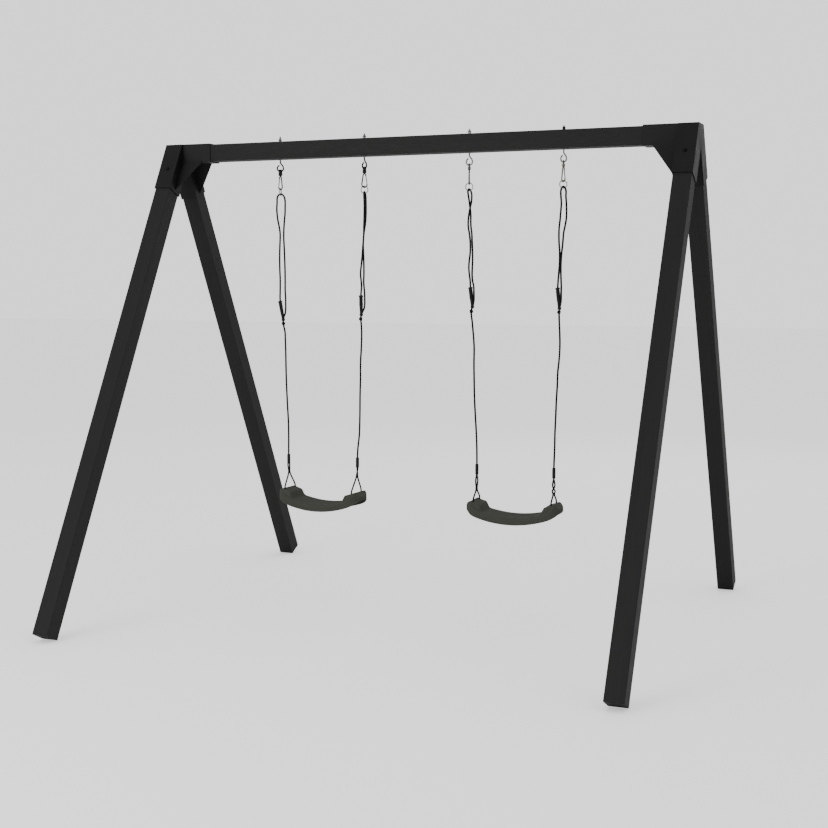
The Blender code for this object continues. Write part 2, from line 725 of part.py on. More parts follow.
def strand_point(station, side):
    """A point on one strand of a pair, from the height, the middle, the half gap and the facing."""
    z, middle, gap, facing = station
    angle = radians(facing)
    return Vector((middle + side * gap * cos(angle), side * gap * sin(angle), z))


def rope_points(number):
    """One rope's route, from its tail in the adjuster to its ferrule, about the hook's axis."""
    loop, run = LOOPS[number], RUNS[number]
    tail = [strand_point(s, -1) for s in reversed(loop)]
    standing = [strand_point(s, 1) for s in loop]
    return tail + [Vector((0, 0, LOOP_TOP))] + standing + [Vector(p) for p in run]


def rope_line(number):
    return thin(smooth(rope_points(number), 4), 0.0007)


def make_rope(number, x, cord, parent):
    place = Vector((x, 0, BEAM_TOP))
    points = [place + p for p in rope_line(number)]
    knot = ball(place + Vector(RUNS[number][KNOT_POINT]), KNOT_R)
    rope = join(as_mesh(tube(points, ROPE / 2)), knot)
    origin = place + Vector((0, 0, LOOP_TOP))
    piece(rope, f"rope_{number + 1}", cord, origin, parent)


def grip_profile(length):
    """The grip's outline from the collar at the tail down to its foot at the eye."""
    profile = [(0, 0), (GRIP_COLLAR_R - 0.001, 0), (GRIP_COLLAR_R, -0.001), (GRIP_COLLAR_R, -0.008)]
    profile.append((GRIP_NECK_R, -0.011))
    pitch = 0.046 / GRIP_RIBS
    for i in range(GRIP_RIBS):
        z = -0.013 - i * pitch
        profile += [(GRIP_R, z), (GRIP_R + GRIP_RIB, z - pitch * 0.5)]
    profile += [(GRIP_FOOT_R + 0.001, -length * 0.72), (GRIP_FOOT_R, -length), (0, -length)]
    return profile


def make_adjuster(number, x, plastic, parent):
    place = Vector((x, 0, BEAM_TOP))
    tail = place + strand_point(LOOPS[number][-1], -1)
    eye = place + Vector(RUNS[number][EYE_POINT])
    down = (eye - tail).normalized()
    top = tail - down * TAIL_DEEP
    grip = turned(grip_profile((eye - top).length), 12, along(top, top * 2 - eye))
    knot = place + Vector(RUNS[number][KNOT_POINT])
    before = place + Vector(RUNS[number][EYE_POINT - 1])
    lead = (knot - before).normalized()
    ring = cylinder(eye - lead * EYE_HIGH / 2, eye + lead * EYE_HIGH / 2, EYE_R, 12)
    points = [place + p for p in rope_line(number)]
    apex = max(range(len(points)), key=lambda i: points[i].z)
    first = next(i for i in range(apex, len(points)) if points[i].z < top.z + 0.02)
    last = next(i for i in range(first, len(points)) if points[i].z < eye.z - 0.02)
    near = points[first - 1:last + 1]
    start = place + strand_point(LOOPS[number][-2], -1)
    bore = cylinder(tail + (tail - start).normalized() * FIT, start, ROPE_BORE_R, 10)
    grip = cut(join(grip, ring), bore, tube(near, ROPE_BORE_R))
    piece(grip, f"adjuster_{number + 1}", plastic, eye, parent)


def ferrule_x(number):
    return HOOK_X[number] + RUNS[number][-1][0]


def make_ferrule(number, plastic, parent):
    r = FERRULE_R
    dome = [(r * sin(a), PITCH_Z + r * cos(a)) for a in (radians(22.5 * i) for i in range(5))]
    profile = dome + [(r, FERRULE_FOOT + 0.0015), (r - 0.0015, FERRULE_FOOT), (0, FERRULE_FOOT)]
    x = ferrule_x(number)
    ferrule = turned(profile, 12, Matrix.Translation((x, 0, 0)))
    piece(ferrule, f"ferrule_{number + 1}", plastic, (x, 0, PITCH_Z), parent)


def seat_place(swing):
    return Matrix.Translation((SEAT_X[swing], 0, 0)) @ Matrix.Rotation(radians(SEAT_TURN[swing]), 4, "Z")


def make_strands(number, swing, cord, parent):
    outer = -1 if number % 2 == 0 else 1
    place = seat_place(swing)
    start, end = Vector((ferrule_x(number), 0, 0)), place @ Vector((outer * ROPE_HOLE[0], 0, 0))
    stations = STRANDS[number]
    top_z, foot_z = stations[0][0], HOLE_Z
    for name, side in (("front", 1), ("rear", -1)):
        points = []
        for z, gap, facing in stations:
            share = min(1.0, (top_z - z) / (top_z - foot_z))
            turned_facing = facing + SEAT_TURN[swing] * share
            points.append(start.lerp(end, share) + strand_point((z, 0, gap, turned_facing), side))
        knot = ball(place @ Vector((outer * ROPE_HOLE[0], -side * ROPE_HOLE[1], SEAT_KNOT_Z)), KNOT_R)
        first = points[0]
        points[0] = first - Vector((0, 0, 0.004))
        line = [first] + thin(smooth(points, 4), 0.0006)
        strand = join(as_mesh(tube(line, SEAT_CORD / 2)), knot)
        piece(strand, f"seat_strand_{number + 1}_{name}", cord, points[0], parent)


# Seats


def ramp(value, start, end):
    t = max(0.0, min(1.0, (value - start) / (end - start)))
    return t * t * (3 - 2 * t)


def seat_height(x, y):
    """The height of the seat's upper face at a place from its middle."""
    rise = ramp(abs(x), *BLOCK_RISE) * (1 - 0.8 * ramp(abs(x), *BLOCK_FALL))
    rise *= 1 - 0.9 * ramp(abs(y), *BLOCK_SIDE)
    return SEAT_Z + SEAT_CURVE * x * x + BLOCK_HIGH * rise


def seat_sheet():
    """The seat's upper face with its rim turned down, as an open sheet."""
    bm = bmesh.new()
    columns = SEAT_MIDDLE_COLUMNS + 2 * SEAT_BLOCK_COLUMNS
    rows = 2 * len(SEAT_ROWS) - 2
    bmesh.ops.create_grid(bm, x_segments=columns, y_segments=rows, size=1)
    for v in bm.verts:
        u, w = column_place(v.co.x * columns / 2), row_place(v.co.y * rows / 2)
        x = SEAT_HALF * u * (1 - SEAT_ROUND[0] * w ** 4)
        y = SEAT_DEEP * w * (1 - SEAT_ROUND[1] * u ** 4)
        v.co = (x, y, seat_height(x, y))
    for out, down in rim_steps(SEAT_ROLL, 2):
        rim = [e for e in bm.edges if e.is_boundary]
        grown = bmesh.ops.extrude_edge_only(bm, edges=rim)
        for v in (g for g in grown["geom"] if isinstance(g, bmesh.types.BMVert)):
            away = Vector((round_share(v.co.x, SEAT_HALF), round_share(v.co.y, SEAT_DEEP), 0))
            v.co += away.normalized() * out
            v.co.z = skirt_foot(v.co.x) if down is None else v.co.z - down
    bmesh.ops.recalc_face_normals(bm, faces=bm.faces)
    if sum(f.normal.z for f in bm.faces) < 0:
        bmesh.ops.reverse_faces(bm, faces=bm.faces)
    return bm


def rim_steps(radius, count):
    """How far out and down each ring of the rolled rim goes. The last ring is the skirt's foot."""
    angles = [pi / 2 * i / count for i in range(count + 1)]
    rolled = [(radius * (sin(b) - sin(a)), radius * (cos(a) - cos(b)))
              for a, b in zip(angles, angles[1:])]
    return rolled + [(0.0005, None)]


def skirt_foot(x):
    """The height of the skirt's lower edge, which is rounded up towards the seat's ends."""
    reach = max(0.0, abs(x) - SKIRT_RISE_FROM) / (SEAT_HALF + SEAT_ROLL - SKIRT_RISE_FROM)
    rise = SKIRT_RISE * (1 - sqrt(1 - min(1.0, reach) ** 2))
    return SEAT_Z + SEAT_CURVE * x * x - SKIRT + rise


def column_place(column):
    """Where a column of the grid lies, from -1 to 1: they are closer together in the blocks."""
    middle = SEAT_MIDDLE_COLUMNS / 2
    beyond = max(0.0, abs(column) - middle)
    place = min(abs(column), middle) / middle * SEAT_BLOCK_FROM
    place += beyond / SEAT_BLOCK_COLUMNS * (1 - SEAT_BLOCK_FROM)
    return place if column > 0 else -place


def row_place(row):
    return copysign(SEAT_ROWS[round(abs(row))], row)


def round_share(value, half):
    """How much a rim point faces along one axis: all near that end, none in the middle."""
    return max(-1.0, min(1.0, value / half)) ** 9


def make_seat(swing, name, plastic, parent):
    mesh = bpy.data.meshes.new(name)
    bm = seat_sheet()
    bm.to_mesh(mesh)
    bm.free()
    place = seat_place(swing)
    mesh.transform(place)
    shell = tool(mesh)
    wall = shell.modifiers.new("wall", "SOLIDIFY")
    wall.thickness = SEAT_WALL
    wall.offset = -1
    shell = as_mesh(shell)
    holes = []
    for sx in (-1, 1):
        for sy in (-1, 1):
            hole = place @ Vector((sx * ROPE_HOLE[0], sy * ROPE_HOLE[1], HOLE_Z))
            reach = Vector((0, 0, 0.03))
            holes.append(cylinder(hole - reach, hole + reach, ROPE_HOLE_R, 12))
    piece(cut(shell, *holes), name, plastic, (SEAT_X[swing], 0, SEAT_Z), parent, 50)


def main():
    clear_scene()
    wood = material("stained_timber", (0.030, 0.030, 0.030), 0.75)
    bracket_steel = material("bracket_steel", (0.018, 0.018, 0.018), 0.5, 0.6)
    zinc = material("zinc_steel", (0.55, 0.56, 0.57), 0.35, 1.0)
    dark_steel = material("dark_steel", (0.03, 0.03, 0.03), 0.45, 0.8)
    cord = material("rope", (0.012, 0.012, 0.013), 0.9)
    black_plastic = material("black_plastic", (0.02, 0.02, 0.02), 0.5)
    seat_plastic = material("seat_plastic", (0.075, 0.080, 0.066), 0.55)

    make_beam(wood)
    for side in (-1, 1):
        make_bracket(side, bracket_steel)
        make_bolts(side, dark_steel)
        for front in (True, False):
            make_leg(side, front, wood)

    for swing, centre_x in enumerate(SWING_X):
        end = "left" if swing == 0 else "right"
        metal = dark_steel if swing == 0 else zinc
        hang = pivot(f"swing_{end}_pivot", (centre_x, 0, BEAM_TOP + PIVOT_DROP))
        seat = pivot(f"seat_{end}_pivot", (SEAT_X[swing], 0, PITCH_Z), hang)
        for number in (2 * swing, 2 * swing + 1):
            x, label = HOOK_X[number], number + 1
            make_hook(label, x, HOOK_TURN[number], metal)
            make_nut(label, x, dark_steel if label == 4 else zinc)
            make_swivel(label, x, metal, hang)
            make_snap(label, x, SNAP_TURN[number], metal, hang)
            make_gate(label, x, SNAP_TURN[number], zinc, hang)
            make_ring(label, x, RING_TURN[number], zinc, hang)
            make_rope(number, x, cord, hang)
            make_adjuster(number, x, black_plastic, hang)
            make_ferrule(number, black_plastic, seat)
            make_strands(number, swing, cord, seat)
        make_seat(swing, f"seat_{end}", seat_plastic, seat)


main()
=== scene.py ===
"""The looks of the swing set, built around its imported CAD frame. Units are metres, +Z up."""

from math import asin, cos, pi, radians, sin, sqrt

import bmesh
import bpy
from mathutils import Matrix, Vector


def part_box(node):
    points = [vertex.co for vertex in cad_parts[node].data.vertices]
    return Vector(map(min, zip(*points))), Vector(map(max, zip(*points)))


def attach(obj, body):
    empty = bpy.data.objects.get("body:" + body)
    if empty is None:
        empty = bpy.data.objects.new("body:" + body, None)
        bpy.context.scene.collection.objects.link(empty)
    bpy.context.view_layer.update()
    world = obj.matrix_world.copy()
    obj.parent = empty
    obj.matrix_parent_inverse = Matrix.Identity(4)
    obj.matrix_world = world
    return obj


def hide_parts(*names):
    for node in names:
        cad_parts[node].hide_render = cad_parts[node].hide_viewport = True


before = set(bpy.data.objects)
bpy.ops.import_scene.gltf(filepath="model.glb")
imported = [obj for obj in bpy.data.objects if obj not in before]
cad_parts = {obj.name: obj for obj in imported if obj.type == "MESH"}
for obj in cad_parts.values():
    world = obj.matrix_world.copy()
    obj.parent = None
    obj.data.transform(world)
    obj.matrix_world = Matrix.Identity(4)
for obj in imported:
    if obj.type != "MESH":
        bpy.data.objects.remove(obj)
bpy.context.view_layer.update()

# The frame's driving sizes, as the CAD has them
BEAM_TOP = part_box("top_beam")[1][2]
TIMBER = 0.090
BEAM_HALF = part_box("top_beam")[1][0]
LEG_X = 1.4126
LEG_SPLAY = radians(27.18)
LEG_ROOT_Y = 0.0273
LEG_START = 0.060
LEG_BOLT_AT = 0.121
TIMBER_EDGE = 0.003
# How much shorter a leg is shown than the length that would just reach the ground
LEG_SHY = 0.0015
SLEEVE_HALF = 0.050
BEAM_BOLT_X = 1.250
BOLT_HEAD_R = 0.010
BOLT_HEAD_HIGH = 0.006
BOLT_EDGE = 0.001
BOLT_R = 0.005
BOLT_LONG = 0.060

HOOK_X = (-0.787, -0.292, 0.292, 0.787)
HOOK_TURN = (20, -25, 0, -17)
HOOK_TOP = (0.030, 0.027, 0.028, 0.025)
HOOK_WIRE = 0.008
HOOK_NECK = -0.106
HOOK_BEND = ((0.10, -0.0045), (0.38, -0.0115), (0.72, -0.0180))
CURL_R = 0.0165
CURL_DROP = -0.138
CURL_FROM = 18
CURL_TO = -246
PIVOT_DROP = CURL_DROP - CURL_R
DIP_LINE = BEAM_TOP - 0.102
THREAD_PITCH = 0.0012
THREAD_DEEP = 0.0005
WASHER_R = 0.0100
WASHER_HIGH = 0.0016
CAP_R = 0.0080
CAP_HIGH = 0.0180
BOW_R = 0.008
BOW_WIRE = 0.005
BARREL_R = (0.011, 0.011, 0.008, 0.008)
SLEEVE_R = 0.0112
SLEEVE_BORE_R = 0.0086
SLEEVE_LONG = 0.013
BARREL_TOP = -0.163
BARREL_FOOT = -0.177
STEM_R = 0.0035
STEM_DEEP = 0.008
SNAP_WIRE = 0.007
SNAP_TOP_R = 0.0075
SNAP_FOOT_R = 0.0152
SNAP_TOP = -0.188
SNAP_FOOT = -0.2356
SNAP_TURN = (155, 50, 105, -42)
COLLAR_R = 0.0058
COLLAR_FOOT = -0.1812
GATE_WIRE = 0.0055
GATE_HINGE = 0.24
RING_R = 0.019
RING_WIRE = 0.005
RING_TOP = -0.2441
RING_TURN = (105, 5, 5, 35)

ROPE = 0.010
SEAT_CORD = 0.0086
KNOT_SIZE = 0.0068
LOOP_TOP = -0.2738
FIT = 0.0003
FERRULE_R = 0.009
FERRULE_TOP = 0.815
FERRULE_FOOT = 0.758
ROPE_END = FERRULE_TOP + FIT - BEAM_TOP

# The loop of each rope, from the ring down: height from the beam's top, sideways place of the
# middle of its two strands, half the gap between them, and the way they face, in degrees from +X.
LOOPS = (
    (
        (-0.2823, 0.0010, 0.0159, 0), (-0.2943, 0.0020, 0.0222, 0), (-0.318, 0.0030, 0.0243, 0),
        (-0.350, 0.0020, 0.0250, 0), (-0.382, 0.0024, 0.0238, 0), (-0.414, 0.0030, 0.0198, 0),
        (-0.446, 0.0050, 0.0149, 0), (-0.478, 0.0070, 0.0113, 0), (-0.511, 0.0070, 0.0110, 0),
        (-0.543, 0.0070, 0.0120, 4), (-0.607, 0.0075, 0.0143, 6), (-0.671, 0.0087, 0.0150, 6),
        (-0.736, 0.0100, 0.0145, 4), (-0.800, 0.0097, 0.0155, 0), (-0.833, 0.0105, 0.0170, 0),
        (-0.858, 0.0115, 0.0160, 0),
    ),
    (
        (-0.2813, 0.0010, 0.0134, 101), (-0.2914, 0.0020, 0.0187, 101), (-0.330, 0.0039, 0.0200, 101),
        (-0.375, 0.0040, 0.0200, 101), (-0.423, 0.0024, 0.0195, 102), (-0.454, -0.0002, 0.0170, 105),
        (-0.485, -0.0030, 0.0140, 112), (-0.548, -0.0078, 0.0110, 112), (-0.610, -0.0090, 0.0100, 92),
        (-0.650, -0.0105, 0.0100, 75), (-0.704, -0.0129, 0.0100, 52), (-0.740, -0.0117, 0.0098, 72),
        (-0.770, -0.0098, 0.0098, 72), (-0.800, -0.0096, 0.0105, 52), (-0.826, -0.0096, 0.0108, 48),
    ),
    (
        (-0.2813, 0.0010, 0.0134, -98), (-0.2914, 0.0030, 0.0187, -98), (-0.318, 0.0060, 0.0190, -94),
        (-0.345, 0.0068, 0.0188, -83), (-0.372, 0.0052, 0.0178, -68), (-0.402, 0.0045, 0.0160, -52),
        (-0.432, 0.0030, 0.0140, -42), (-0.463, 0.0035, 0.0130, -38), (-0.493, 0.0085, 0.0120, -38),
        (-0.540, 0.0125, 0.0102, -40), (-0.600, 0.0140, 0.0102, -32), (-0.645, 0.0112, 0.0100, -8),
        (-0.675, 0.0102, 0.0100, -10), (-0.705, 0.0112, 0.0100, -25), (-0.738, 0.0150, 0.0100, -32),
        (-0.766, 0.0190, 0.0105, -15), (-0.782, 0.0198, 0.0105, -15),
    ),
    (
        (-0.2816, 0.0000, 0.0141, -36), (-0.2922, 0.0010, 0.0197, -36), (-0.322, 0.0015, 0.0200, -36),
        (-0.352, 0.0040, 0.0200, -36), (-0.381, 0.0040, 0.0195, -30), (-0.411, 0.0030, 0.0190, -22),
        (-0.440, 0.0010, 0.0180, -17), (-0.470, -0.0035, 0.0160, -12), (-0.500, -0.0072, 0.0130, -10),
        (-0.530, -0.0082, 0.0115, -10), (-0.558, -0.0085, 0.0103, -15), (-0.588, -0.0088, 0.0100, -38),
        (-0.647, -0.0107, 0.0100, -52), (-0.700, -0.0122, 0.0102, -42), (-0.740, -0.0130, 0.0105, -28),
        (-0.766, -0.0130, 0.0108, -20), (-0.784, -0.0130, 0.0108, -20),
    ),
)

# The rest of each rope, from its loop down to its ferrule. Places are from the hook's axis.
RUNS = (
    (
        (0.0278, 0, -0.885), (0.0245, 0, -0.912), (0.0170, 0, -0.931), (0.0125, 0, -0.946),
        (0.0125, 0, -0.967), (0.0160, 0, -0.984), (0.0210, 0, -1.003), (0.0245, 0, -1.060),
        (0.0265, 0, -1.130), (0.0280, 0, -1.230), (0.0310, 0, -1.320), (0.0360, 0, -1.420),
        (0.0405, 0, -1.500), (0.0418, 0, -1.580), (0.0415, 0, -1.640), (0.0415, 0, ROPE_END),
    ),
    (
        (-0.0020, 0.0085, -0.855), (-0.0045, 0.0070, -0.880), (-0.0120, 0.0030, -0.900),
        (-0.0185, 0, -0.915), (-0.0210, 0, -0.938), (-0.0195, 0, -0.957), (-0.0170, 0, -0.990),
        (-0.0165, 0, -1.040), (-0.0190, 0, -1.100), (-0.0230, 0, -1.170), (-0.0235, 0, -1.250),
        (-0.0260, 0, -1.350), (-0.0270, 0, -1.450), (-0.0310, 0, -1.560), (-0.0390, 0, -1.630),
        (-0.0415, 0, ROPE_END),
    ),
    (
        (0.0305, -0.0020, -0.810), (0.0300, -0.0010, -0.836), (0.0268, 0, -0.854),
        (0.0215, 0, -0.869), (0.0150, 0, -0.893), (0.0162, 0, -0.912), (0.0205, 0, -0.942),
        (0.0245, 0, -0.980), (0.0295, 0, -1.030), (0.0325, 0, -1.080), (0.0320, 0, -1.150),
        (0.0335, 0, -1.240), (0.0365, 0, -1.340), (0.0410, 0, -1.420), (0.0465, 0, -1.500),
        (0.0508, 0, -1.590), (0.0520, 0, ROPE_END),
    ),
    (
        (-0.0030, -0.0035, -0.812), (-0.0035, -0.0030, -0.838), (-0.0075, -0.0010, -0.858),
        (-0.0125, 0, -0.874), (-0.0135, 0, -0.893), (-0.0133, 0, -0.914), (-0.0120, 0, -0.945),
        (-0.0100, 0, -0.980), (-0.0078, 0, -1.030), (-0.0078, 0, -1.080), (-0.0115, 0, -1.140),
        (-0.0165, 0, -1.190), (-0.0185, 0, -1.260), (-0.0225, 0, -1.340), (-0.0245, 0, -1.410),
        (-0.0275, 0, -1.490), (-0.0285, 0, -1.580), (-0.0305, 0, -1.645), (-0.0310, 0, ROPE_END),
    ),
)
EYE_POINT = 3
KNOT_POINT = 4

# The two strands from each ferrule to its seat: height above the ground, half the gap between
# them, and the way that the front one faces, in degrees from +X.
STRANDS = (
    (
        (FERRULE_FOOT - FIT, 0.0049, -150), (0.738, 0.0050, -120), (0.720, 0.0052, -90),
        (0.706, 0.0090, -90), (0.690, 0.0188, -90), (0.672, 0.0318, -90), (0.655, 0.0436, -90),
        (0.642, 0.0515, -90), (0.633, 0.0551, -90), (0.622, 0.0560, -90), (0.613, 0.0560, -90),
    ),
    (
        (FERRULE_FOOT - FIT, 0.0049, -40), (0.738, 0.0050, -65), (0.720, 0.0052, -90),
        (0.706, 0.0090, -90), (0.690, 0.0188, -90), (0.672, 0.0318, -90), (0.655, 0.0436, -90),
        (0.642, 0.0515, -90), (0.633, 0.0551, -90), (0.622, 0.0560, -90), (0.613, 0.0560, -90),
    ),
    (
        (FERRULE_FOOT - FIT, 0.0049, -230), (0.735, 0.0050, -180), (0.710, 0.0053, -130),
        (0.690, 0.0057, -95), (0.677, 0.0103, -90), (0.665, 0.0215, -90), (0.654, 0.0363, -90),
        (0.644, 0.0484, -90), (0.634, 0.0549, -90), (0.622, 0.0560, -90), (0.613, 0.0560, -90),
    ),
    (
        (FERRULE_FOOT - FIT, 0.0049, -430), (0.738, 0.0050, -380), (0.720, 0.0057, -330),
        (0.706, 0.0075, -260), (0.692, 0.0071, -160), (0.680, 0.0080, -100), (0.667, 0.0197, -90),
        (0.655, 0.0359, -90), (0.644, 0.0484, -90), (0.634, 0.0549, -90), (0.622, 0.0560, -90),
        (0.613, 0.0560, -90),
    ),
)

SEAT_X = (-0.5395, 0.5500)
SEAT_TURN = (-3, 3)
SEAT_HALF = 0.2360
SEAT_DEEP = 0.0815
SEAT_ROUND = (0.14, 0.075)
SEAT_Z = 0.557
SEAT_CURVE = 0.86
SEAT_WALL = 0.004
SEAT_ROLL = 0.0110
SKIRT = 0.038
SKIRT_RISE = 0.022
SKIRT_RISE_FROM = 0.180
BLOCK_HIGH = 0.032
BLOCK_RISE = (0.147, 0.171)
BLOCK_FALL = (0.214, 0.242)
BLOCK_SIDE = (0.066, 0.081)
ROPE_HOLE_R = 0.0060
ROPE_HOLE = (0.204, 0.056)
HOLE_Z = 0.628
SEAT_KNOT_Z = 0.6090
GRIP_RIBS_Y = (-0.056, -0.028, 0.0, 0.028, 0.056)
GRIP_RIB_HIGH = 0.0018
GRIP_RIB_HALF = 0.0050
GRIP_RIB_END = 0.120

GRIP_COLLAR_R = 0.0120
GRIP_R = 0.0100
GRIP_FOOT_R = 0.0080
EYE_R = 0.0095
EYE_HIGH = 0.014
ROPE_BORE_R = 0.0056
TAIL_DEEP = 0.012

# The camera stands at eye height, in front of the right-hand end of the frame
CAMERA_AT = Vector((2.7786, -6.7099, 1.6995))
CAMERA_YAW = radians(22.55)
CAMERA_PITCH = radians(-5.06)
CAMERA_ROLL = radians(0.163)
LENS_MM = 60.65

# How much brighter the backdrop is shown than it lights
HIGH_KEY = 0.45

# The darker and the lighter tone of blackened steel
BLACKENED = ((0.010, 0.010, 0.011), (0.022, 0.022, 0.023))


# Materials


class Nodes:
    """Short ways to build one material's node tree."""

    def __init__(self, name, roughness, metallic=0.0, specular=0.5):
        self.mat = bpy.data.materials.new(name)
        self.mat.use_nodes = True
        self.tree = self.mat.node_tree
        self.bsdf = self.tree.nodes["Principled BSDF"]
        self.bsdf.inputs["Roughness"].default_value = roughness
        self.bsdf.inputs["Metallic"].default_value = metallic
        self.bsdf.inputs["Specular IOR Level"].default_value = specular

    def add(self, kind, **settings):
        node = self.tree.nodes.new(kind)
        for key, value in settings.items():
            setattr(node, key, value)
        return node

    def feed(self, socket, value):
        if isinstance(value, bpy.types.NodeSocket):
            self.tree.links.new(value, socket)
        else:
            socket.default_value = value

    def place(self, scale, source="Object"):
        """Texture coordinates, stretched by the scale."""
        coords = self.add("ShaderNodeTexCoord")
        mapping = self.add("ShaderNodeMapping")
        self.feed(mapping.inputs["Vector"], coords.outputs[source])
        mapping.inputs["Scale"].default_value = scale
        return mapping.outputs["Vector"]

    def noise(self, where, scale, detail=4.0, rough=0.55, distortion=0.0):
        node = self.add("ShaderNodeTexNoise")
        self.feed(node.inputs["Vector"], where)
        node.inputs["Scale"].default_value = scale
        node.inputs["Detail"].default_value = detail
        node.inputs["Roughness"].default_value = rough
        node.inputs["Distortion"].default_value = distortion
        return node.outputs["Fac"]

    def cells(self, where, scale, feature="F1", output="Distance"):
        node = self.add("ShaderNodeTexVoronoi", feature=feature)
        self.feed(node.inputs["Vector"], where)
        node.inputs["Scale"].default_value = scale
        return node.outputs[output]

    def ramp(self, fac, *stops):
        node = self.add("ShaderNodeValToRGB")
        self.feed(node.inputs["Fac"], fac)
        line = node.color_ramp.elements
        while len(line) < len(stops):
            line.new(0.5)
        for element, (at, color) in zip(line, stops):
            element.position = at
            element.color = (*color, 1.0) if isinstance(color, tuple) else (color,) * 3 + (1.0,)
        return node.outputs["Color"]

    def math(self, operation, a, b=0.0, c=0.0):
        node = self.add("ShaderNodeMath", operation=operation)
        for socket, value in zip(node.inputs, (a, b, c)):
            self.feed(socket, value)
        return node.outputs[0]

    def spread(self, fac, low, high, start=0.0, end=1.0):
        """The value moved from the range start to end onto low to high."""
        node = self.add("ShaderNodeMapRange")
        self.feed(node.inputs["Value"], fac)
        for name, value in (
            ("From Min", start), ("From Max", end), ("To Min", low), ("To Max", high)
        ):
            node.inputs[name].default_value = value
        return node.outputs["Result"]

    def mix(self, fac, a, b, blend="MIX"):
        node = self.add("ShaderNodeMix", data_type="RGBA", blend_type=blend)
        self.feed(node.inputs[0], fac)
        self.feed(node.inputs[6], a)
        self.feed(node.inputs[7], b)
        return node.outputs[2]

    def bump(self, height, distance, strength=1.0, under=None):
        node = self.add("ShaderNodeBump")
        self.feed(node.inputs["Height"], height)
        node.inputs["Distance"].default_value = distance
        node.inputs["Strength"].default_value = strength
        if under is not None:
            self.feed(node.inputs["Normal"], under)
        return node.outputs["Normal"]

    def done(self, color, normal, roughness=None):
        self.feed(self.bsdf.inputs["Base Color"], color)
        self.feed(self.bsdf.inputs["Normal"], normal)
        if roughness is not None:
            self.feed(self.bsdf.inputs["Roughness"], roughness)
        return self.mat


def timber_material(name, shift):
    """Planed softwood under a black stain, with its grain along the piece's own Z."""
    n = Nodes(name, 0.75, specular=0.20)
    where = n.place((1.0, 1.0, 0.055))
    moved = n.add("ShaderNodeMapping")
    n.feed(moved.inputs["Vector"], where)
    moved.inputs["Location"].default_value = (shift, shift * 0.37, shift * 0.11)
    where = moved.outputs["Vector"]
    rings = n.noise(where, 26, 3, 0.5, 0.8)
    band = n.math("FRACT", n.math("MULTIPLY", rings, 9.0))
    late = n.ramp(band, (0.0, 0.0), (0.72, 0.55), (0.93, 1.0), (1.0, 0.1))
    fibre = n.noise(where, 420, 3, 0.7)
    broad = n.noise(where, 7, 2, 0.5)
    color = n.ramp(broad, (0.3, (0.0054, 0.0054, 0.0056)), (0.7, (0.0097, 0.0095, 0.0091)))
    color = n.mix(n.spread(late, 0.0, 0.42), color, (0.0030, 0.0030, 0.0032, 1.0))
    color = n.mix(n.spread(fibre, 0.0, 0.35, 0.45, 0.75), color, (0.0200, 0.0190, 0.0180, 1.0))
    normal = n.bump(late, 0.00035, 0.6)
    normal = n.bump(fibre, 0.00030, 0.8, normal)
    return n.done(color, normal, n.spread(fibre, 0.55, 0.80, 0.3, 0.7))


def coat_material():
    """Black powder coat on steel plate: even, satin, with a very fine orange peel."""
    n = Nodes("bracket_coat", 0.55, specular=0.11)
    where = n.place((1.0, 1.0, 1.0))
    peel = n.noise(where, 650, 2, 0.5)
    dust = n.noise(where, 9, 4, 0.6)
    color = n.ramp(dust, (0.3, (0.0058, 0.0058, 0.0059)), (0.75, (0.0090, 0.0089, 0.0088)))
    speck = n.cells(where, 900)
    color = n.mix(n.spread(speck, 0.25, 0.0, 0.0, 0.2), color, (0.015, 0.015, 0.015, 1.0))
    normal = n.bump(peel, 0.00022, 0.7)
    return n.done(color, normal, n.spread(dust, 0.42, 0.58, 0.3, 0.7))


def metal_material(name, dark, light, rough, bright, dipped=None):
    """Plated or blackened hardware, with a faint mottle, drawing marks, and pale spots that are partly
    wear and partly painted highlights.

    A dipped piece is black below the given height, and plated above it.
    """
    n = Nodes(name, rough, 1.0)
    where = n.place((1.0, 1.0, 1.0))
    mottle = n.cells(where, 240, output="Color")
    cloud = n.noise(where, 60, 4, 0.6)
    color = n.mix(cloud, (*dark, 1.0), (*light, 1.0))
    color = n.mix(0.10, color, mottle, "OVERLAY")
    # Pale spots in the given bright tone, where the noise is high: partly wear and partly painted
    # highlights on the metal.
    wear_and_highlight = n.ramp(n.noise(where, 130, 5, 0.7), (0.62, 0.0), (0.72, 1.0))
    color = n.mix(n.spread(wear_and_highlight, 0.0, 0.5), color, (*bright, 1.0))
    if dipped:
        split = n.add("ShaderNodeSeparateXYZ")
        n.feed(split.inputs["Vector"], where)
        black = n.spread(split.outputs["Z"], 1.0, 0.0, dipped, dipped + 0.003)
        color = n.mix(black, color, n.mix(cloud, *((*tone, 1.0) for tone in BLACKENED)))
    scratch = n.noise(n.place((1.0, 1.0, 0.12)), 900, 3, 0.6)
    normal = n.bump(scratch, 0.00010, 0.5)
    return n.done(color, normal, n.spread(cloud, rough - 0.08, rough + 0.12, 0.3, 0.7))


